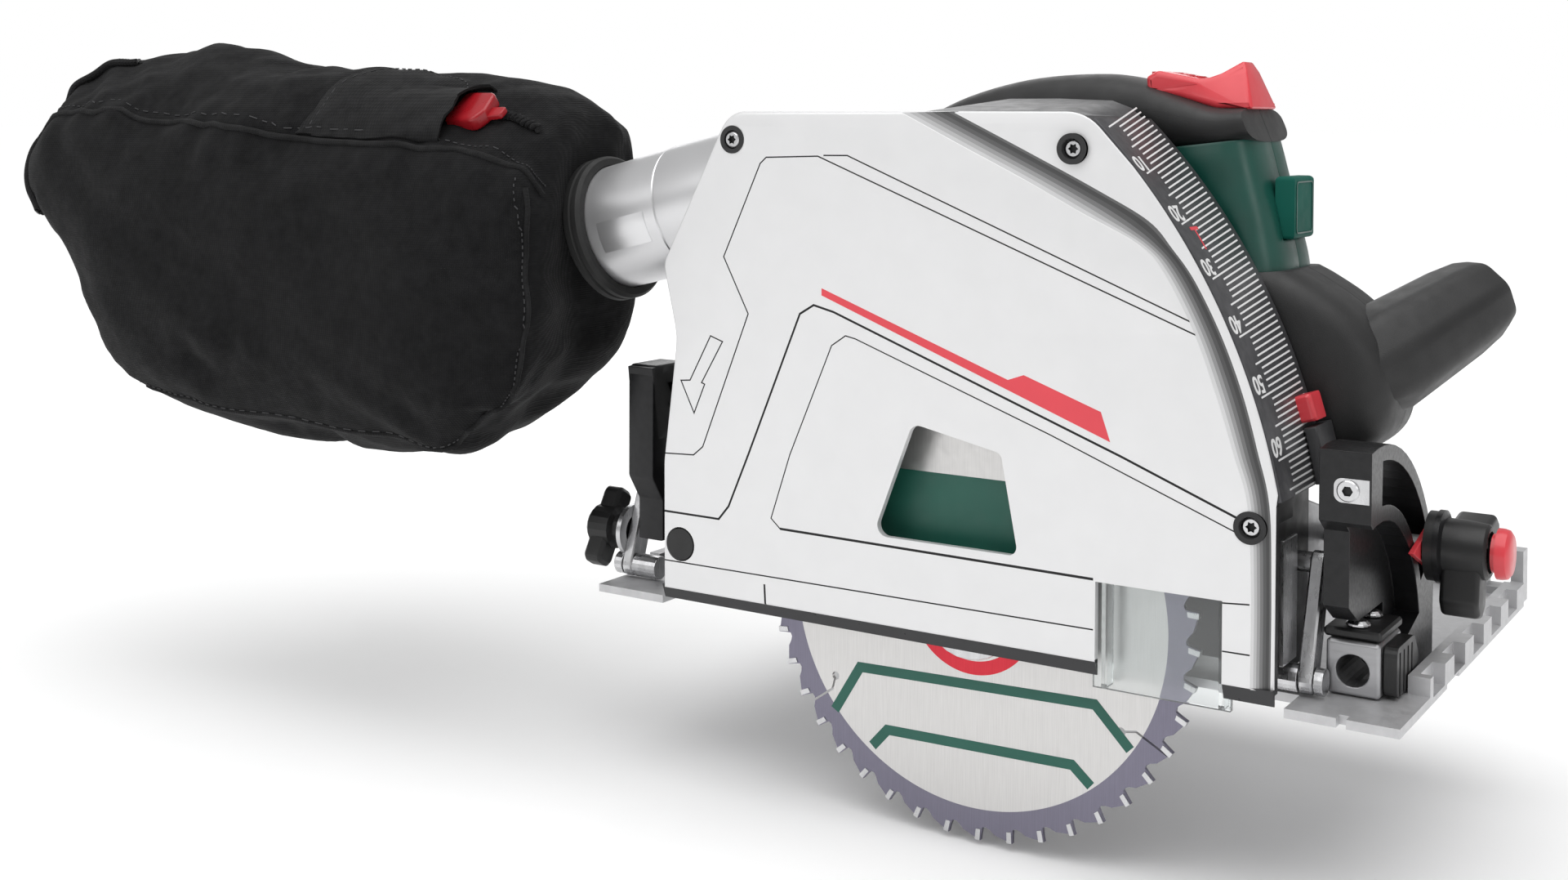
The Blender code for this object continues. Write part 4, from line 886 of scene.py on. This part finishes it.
def make_buckle(on_skin):
    """Red clip under the flap's open end, with a braided black pull beside it."""
    spot, normal = on_skin(mid("bag_clip"))
    across = Vector((0.1, 0.75, 0.66)).normalized()
    run = across.cross(normal).normalized()
    turn = Matrix((run, across, normal)).transposed().to_4x4()
    turn.translation = spot * MM
    shape = rounded([(-9, -9, 3), (10, -9, 4), (13, -3, 3), (10, 8, 4), (-9, 9, 3)])
    body = plate("XY", shape, -1, 5.2, 1.4, segments=3)
    body.transform(turn)
    tongue = plate("XY", rounded([(10, -4, 1), (20, -3, 1.5), (20, 2, 1.5), (10, 2, 1)]), 0, 2.4, 0.6)
    tongue.transform(turn)
    show("bag_buckle", merged(body, tongue), "bag_clip", DEEP_RED, whole=True)
    cord = []
    for phase in (0, math.pi):
        line = []
        for i in range(34):
            flat = spot + run * (13 + i * 0.7) + across * (3.5 + math.sin(i * 0.9 + phase) * 1.3)
            line.append(on_skin(flat, 1.6 + math.cos(i * 0.9 + phase) * 0.9)[0])
        cord.append(tube(line, 1.15, sides=2))
    show("zip_pull", merged(*cord), "dust_bag", TAPE)


# ---------------------------------------------------------------- motor unit
def make_handles():
    loop = [((-56, 56), (-30, 60), 40), ((-76, 70), (-36, 72), 40), ((-88, 92), (-37, 88), 38),
            ((-92, 116), (-44, 106), 37), ((-89, 140), (-50, 126), 36), ((-79, 162), (-46, 146), 36),
            ((-62, 181), (-34, 158), 36), ((-38, 194.5), (-12, 165), 36), ((-10, 202), (6, 168), 37),
            ((18, 204), (24, 168.5), 39), ((34, 202.2), (40, 170.0), 41), ((46, 198.6), (46.5, 174.4), 44),
            ((56, 195.0), (56.5, 175.0), 46), ((66, 191.8), (68, 175.8), 47),
            ((76.4, 191.4), (81.4, 179.2), 46)]
    well = block((23.4, SEAM_Y - 9.2, 150), (44.6, SEAM_Y + 9.2, 178))
    solid = softened(carve(limb(loop, 3.0), motor_bore(), well), 1.6, 3, 50)
    clamshell(solid, "handle_shell", "handle", SOFT_BLACK)


def make_column():
    stations = [((80.8, 180.4), (47, 176.4), 46), ((82.4, 174.4), (45.5, 170.6), 47.5),
                ((84.6, 166), (45.5, 164), 48), ((87.2, 157), (46.5, 155), 49), ((89.4, 147), (49, 146), 49),
                ((91.2, 139), (51.5, 136), 50), ((92.2, 132.4), (52.5, 131.4), 50)]
    well = block((86.5, SEAM_Y - 11.5, 145), (110, SEAM_Y + 11.5, 167.6))
    clamshell(carve(limb(stations, 3.7), well), "column_shell", "column", GREEN, edge=0.5)
    front = high("badge_plate").x - 2.4
    badge = block(low("badge_plate"), (front, *high("badge_plate").yz), 1.6, 4)
    show("badge", badge, "badge_plate", BADGE, whole=True)
    frame_line = rounded([(SEAM_Y - 9.2, 147.4, 1.6), (SEAM_Y + 9.2, 147.4, 1.6), (SEAM_Y + 9.2, 165.2, 1.6),
                          (SEAM_Y - 9.2, 165.2, 1.6)])
    show("badge_frame", ribbon(frame_line, 0.5, front - 0.2, front + 0.3, True, "YZ"), "badge_plate", GREEN)


def make_front_body():
    stations = [((95, 135.2), (50, 131.5), 50), ((101, 132), (47, 126), 54), ((112, 125), (43, 118), 57),
                ((121.5, 116), (40, 108), 58), ((128, 104), (36, 96), 58), ((128.6, 91), (34, 86), 58),
                ((125, 80), (34, 74), 57), ((113, 71), (36, 64), 56), ((92, 64), (40, 58), 52),
                ((70, 58), (44, 54), 48)]
    clamshell(carve(limb(stations, 4.2), motor_bore()), "front_shell", "front_housing", SOFT_BLACK)
    start, end = Vector((112, -34, 98)), Vector((141, 14, 122))
    along = (end - start).normalized()
    length = (end - start).length
    across = along.cross(Vector((0, 0, 1))).normalized()
    upward = across.cross(along)
    stations = [(-10, 9), (4, 14.8), (16, 18.0), (30, 17.2), (length - 8, 15.8), (length + 3, 14.4),
                (length + 8, 12.6), (length + 9.6, 9.4), (length + 9.8, 4)]
    rings = []
    for reach, radius in stations:
        outline = rounded([(*polar((0, 0), radius * 1.09, 22.5 + 45 * k), radius * 0.5) for k in range(8)], 9)
        rings.append([start + along * reach + across * u + upward * v for u, v in outline])
    show("grip_front", loft(rings), "front_grip", SOFT_BLACK, whole=True, smooth_angle=24)


def make_controls():
    top = rounded([(40.4, 196.4, 0.6), (39.8, 202.4, 1.6), (44, 204.6, 3), (53, 202.8, 10), (60.5, 201.2, 8),
                   (66, 203.4, 4), (72.6, 208.0, 0.9), (74.6, 204, 2), (79.0, 190.7, 0.8), (66, 190.6, 3),
                   (52, 194.8, 8)])
    slider = plate("XZ", top, SEAM_Y - 14.5, SEAM_Y + 14.5, 2.2, segments=4)
    for vert in slider.vertices:
        x, y, z = vert.co / MM
        narrow = max(0, min(1, (z - 196) / 12)) * max(0, min(1, (x - 56) / 14))
        vert.co.y = (SEAM_Y + (y - SEAM_Y) * (1 - 0.7 * narrow)) * MM
    show("lock_off", slider, "lock_off_slider", RED, whole=True)
    ridges = []
    for i in range(5):
        x, top_level = 42.5 + 4.2 * i, 204.0 - 0.16 * max(i * 4.2 - 2, 0)
        line = [(x - 1.4, SEAM_Y - 9.5), (x + 1.4, SEAM_Y), (x - 1.4, SEAM_Y + 9.5)]
        ridges.append(ribbon(line, 1.2, top_level - 1.2, top_level + 0.35, plane="XY"))
    show("lock_off_ridges", merged(*ridges), "lock_off_slider", RED)
    carry(BLACK, 0.6, "trigger")


# ---------------------------------------------------------------- dust outlet
PORT_AXIS = Vector((-math.cos(math.radians(14)), 0, -math.sin(math.radians(14))))
PORT = Vector((-113.0, -75.4, 156.0))


def make_port():
    profile = [(25, 61.7), (25.0, 19.6), (24.4, 18.8), (22.6, 18.8), (22.6, 61.7)]
    tube_mesh = lathe(profile, PORT, PORT_AXIS, 96, closed=True)
    show("outlet_tube", tube_mesh, "dust_port", SATIN, whole=True)
    neck = [(25.2, 18.6), (25.3, 17.8), (25.3, -14), (23, -14), (23, 18.6)]
    show("outlet_neck", lathe(neck, PORT, PORT_AXIS, 96, closed=True), "guard_shell", SATIN)
    ear = rounded([(-131, 124, 1), (-122, 124, 0), (-122, 110, 0), (-126, 110.5, 4), (-130, 114, 4)])
    lug = carve(plate("XZ", ear, -86, -82, 0.4), rod((-124.6, -90, 116.5), (0, 1, 0), 3.2, 12))
    show("outlet_lug", lug, "guard_shell", SATIN)
    rings = []
    for distance, radius in ((24.5, 25.15), (25.2, 25.45), (47.0, 25.45), (47.8, 25.15)):
        outline = arc((0, 0), 25.0, 178, 206, 7) + arc((0, 0), radius, 206, 178, 7)
        rings.append([PORT + PORT_AXIS * distance + Vector((v * PORT_AXIS.z, u, -v * PORT_AXIS.x))
                      for u, v in outline])
    show("outlet_plate", loft(rings), "dust_port", SATIN)
    collar = [(25.4, 53), (28.2, 53), (29.4, 54.5), (29.4, 56.5), (28.3, 57.2), (29.4, 58), (29.4, 60.5),
              (28, 62), (25.4, 62)]
    show("rubber_collar", lathe(collar, PORT, PORT_AXIS, 80, closed=True), "bag_collar", RUBBER,
         whole=True)


# ---------------------------------------------------------------- clamps
def on_clamp(profile, steps, closed=True):
    return lathe(profile, (0, *CLAMP), (1, 0, 0), steps, closed)


def make_front_clamp():
    outer = high("front_clamp_knob").x
    x0 = low("front_clamp_knob").x
    body = on_clamp([(6.9, outer), (8.2, outer), (9.2, outer - 0.8), (9.8, outer - 8), (9.8, 144),
                     (11.6, 142.8), (11.6, x0), (4, x0), (4, 155), (6.9, 155)], 64)
    half, wings = 6.5, []
    for angle, reach in ((8, 24), (-102, 22)):
        lobe = rounded([(-3, -half, 2), (reach - 4, -half, 4), (reach, -half + 4, 2), (reach, half - 4, 2),
                        (reach - 4, half, 4), (-3, half, 2)])
        turn = Matrix.Rotation(math.radians(angle), 2)
        shape = [tuple(Vector(CLAMP) + turn @ Vector(point)) for point in lobe]
        wings.append(plate("YZ", shape, 143.5, 156, 1.8, segments=4))
    show("clamp_knob_front", merged(body, *wings), "front_clamp_knob", BLACK, whole=True)
    button = on_clamp([(0, 164.6), (6.6, 164.4), (8.0, 163.4), (8.4, 161.8), (8.4, 160.1), (6.4, 160.0),
                       (6.4, 158.6), (0, 158.6)], 56, closed=False)
    show("button_undercut", button, "undercut_button", RED, whole=True)
    collar = on_clamp([(12.2, 141.6), (12.2, 143.4), (9.6, 144.2), (9.6, 141.6)], 48)
    show("clamp_washer", collar, "front_clamp_knob", DARK_STEEL)
    carry(RED, 0.3, "bevel_pointer")
    carry(CAST, 0.5, "front_clamp_bracket")
    carry(DARK_STEEL, 0.7, "front_bevel_segment", "rear_bevel_segment")


def make_front_lining():
    """Black channel down the guard's front edge with a bright wear plate, and the bracket's set screw."""
    near, far = SHELL_Y
    lining = plate("XY", [(102.6, near), (109.4, near), (109.4, near + 3), (104.6, near + 3), (104.6, far),
                          (102.6, far)], low("guard_shell").z, 66, 0.3)
    lip = plate("XY", [(104, -96), (107, -96), (107, -76), (104, -76)], 58, 66, 0.6)
    show("front_lining", merged(lining, lip), "guard_shell", BLACK)
    show("wear_plate", block((108.4, -94, 14), (109.8, -80, 54), 0.4), "guard_shell", STEEL)
    face = low("front_bevel_segment").y
    slot_shape = rounded([(124.6, 68.2, 2.6), (135.4, 68.2, 0), (135.4, 75.8, 0), (124.6, 75.8, 2.6)])
    show("bracket_slot", plate("XZ", slot_shape, face - 0.15, face + 0.3), "front_bevel_segment", STEEL)
    # Hex socket of the set screw, its inside coloured with painted shade
    hexagon = [polar((129, 72), 1.7, 60 * k) for k in range(6)]
    screw = carve(dressed(rod((129, face + 0.4, 72), (0, -1, 0), 3.4, 1.6, 32, 0.4), STEEL),
                  dressed(plate("XZ", hexagon, face - 3, face - 0.2), GROOVE_PAINTED_SHADE))
    show("bracket_screw", screw, "front_bevel_segment")


def make_rear_post():
    """Post of the rear tilt segment with its neck, and a washer on the clamp."""
    post = rounded([(-93, 90, 3), (-70, 90, 3), (-70, 46, 4), (-76, 36, 2), (-76, 20, 0), (-86, 20, 0),
                    (-86, 36, 2), (-93, 46, 3)])
    rim = plate("YZ", post, -149, -137, 0.8)
    hollow = plate("YZ", rounded([(-90, 74, 2), (-73, 74, 2), (-73, 49, 2), (-90, 49, 2)]), -152, -146)
    show("rear_post", carve(rim, hollow), "rear_bevel_segment", DARK_STEEL)
    knob = mid("rear_clamp_knob")
    washer = lathe([(10.4, 0), (10.4, 2.0), (6.2, 2.6), (6.2, 0)], (-156.6, knob.y, knob.z), (-1, 0, 0), 40,
                   True)
    show("rear_washer", washer, "rear_clamp_knob", STEEL)


def make_depth_stop():
    near, far = SHELL_Y[1] - 16, high("depth_stop").y
    leaf = sector(PIVOT, RIM_R + 0.4, RIM_R + 4.6, 10.6, 15.2, 8)
    show("depth_slide", plate("XZ", leaf, near, far, 0.7), "depth_stop", CHARCOAL, whole=True)
    carry(RED, 0.8, "depth_stop_button")


def make_top_ramp():
    """Charcoal top of the guard, rising towards the motor side."""
    near, far = SHELL_Y
    rings = []
    for x, edge, rise in ((-16, 189.2, 0.1), (-6, 189.2, 5.2), (14, 189.0, 5.4), (34, 188.6, 5.0),
                          (41, 187.4, 3.6), (47, 184.6, 1.0)):
        rings.append([(x, near + 0.4, edge), (x, far, edge + rise), (x, far, edge - 3),
                      (x, near + 0.4, edge - 3)])
    show("guard_top", loft(rings), "guard_shell", CHARCOAL)


def make_rest():
    carry(CHARCOAL, 0.6, "guard_shell")
    carry(CAST_PALE, 0.7, "base_plate")
    carry(STEEL, 0.5, "front_hinge_barrel", "rear_hinge_barrel", "front_hinge_arm", "rear_hinge_arm",
          "fence_screw_1", "fence_screw_2", "spindle", "layshaft", "inner_flange", "outer_flange")
    carry(MILLED, 0.6, "fence_clamp_block")
    carry(BLACK, 0.6, "fence_clamp_cap", "fence_lever", "motor_end_cap", "cable_inlet", "rear_clamp_knob",
          "speed_dial", "spindle_lock", "plunge_pivot")
    carry(CAST, 0.8, "gear_housing")
    carry(GREEN, 1.0, "motor_housing")
    carry(DARK_STEEL, 0.4, "blade_bolt")
    carry(STEEL, 0.0, "return_spring", "spindle_bearing", "rotor_bearing")
    carry(LAMINATE, 0.0, "stator", "rotor")
    carry(BOARD, 0.0, "control_board")
    carry(CLEAR, 0.3, "chip_guard")


# ---------------------------------------------------------------- studio
def make_studio():
    wide, level = 60.0, low("saw_blade").z * MM - 0.002
    corners = [(-wide, -wide), (wide, -wide), (wide, wide), (-wide, wide)]
    mesh = bpy.data.meshes.new("floor")
    mesh.from_pydata([(x, y, level) for x, y in corners], [], [(0, 1, 2, 3)])
    mesh.materials.append(surface("floor_paint", (0.96, 0.96, 0.96), 0.95, mottle=0.003, grain=0.0,
                                  Specular_IOR_Level=0.0))
    floor = placed("floor", mesh)
    world = bpy.data.worlds.new("studio")
    world.use_nodes = True
    tree = world.node_tree
    back = tree.nodes["Background"]
    feed(tree, back, {"Color": (1, 1, 1, 1), "Strength": 0.42})
    white = add(tree, "Background", {"Strength": 1.25})
    seen = add(tree, "LightPath", {}).outputs["Is Camera Ray"]
    mix = add(tree, "MixShader", {"Fac": seen, 1: back.outputs["Background"], 2: white.outputs["Background"]})
    feed(tree, tree.nodes["World Output"], {"Surface": mix.outputs["Shader"]})
    bpy.context.scene.world = world
    lamp("overhead", "SUN", (0.2, -0.5, 3), (0, 0, 0), 2.0, angle=math.radians(70))
    lamp("key", "AREA", (-0.9, -1.6, 1.3), (-0.1, -0.1, 0.1), 8.0, size=1.3)
    lamp("right_strip", "AREA", (1.5, -0.7, 0.7), (0, 0, 0.1), 2.2, size=0.6)
    lamp("rear", "AREA", (-1.0, 1.6, 1.0), (0, 0, 0.1), 6.0, size=1.2)


def lamp(name, kind, place, target, energy, **settings):
    light = bpy.data.lights.new(name, kind)
    light.energy = energy
    for key, value in settings.items():
        setattr(light, key, value)
    made = placed(name, light)
    made.location = place
    made.rotation_euler = (Vector(target) - Vector(place)).to_track_quat("-Z", "Y").to_euler()


def make_camera():
    camera = bpy.data.cameras.new("camera")
    camera.sensor_width = 36
    camera.lens = 42.3
    camera.shift_x = 0.051
    camera.shift_y = -0.176
    camera.clip_start = 0.01
    eye = placed("camera", camera)
    yaw, pitch, roll = math.radians(34.49), math.radians(-1.28), math.radians(0.2)
    view = Vector((-math.sin(yaw) * math.cos(pitch), math.cos(yaw) * math.cos(pitch), math.sin(pitch)))
    aim = view.to_track_quat("-Z", "Y").to_matrix().to_4x4()
    eye.matrix_world = Matrix.Translation((0.2859, -0.6739, 0.1852)) @ aim @ Matrix.Rotation(roll, 4, "Z")
    bpy.context.scene.camera = eye
    bpy.context.scene.view_settings.view_transform = "Standard"


for build in (make_cover, make_scale, make_blade, make_bag, make_handles, make_column, make_front_body,
              make_controls, make_port, make_front_clamp, make_front_lining, make_rear_post, make_depth_stop,
              make_top_ramp, make_rest, make_studio, make_camera):
    build()
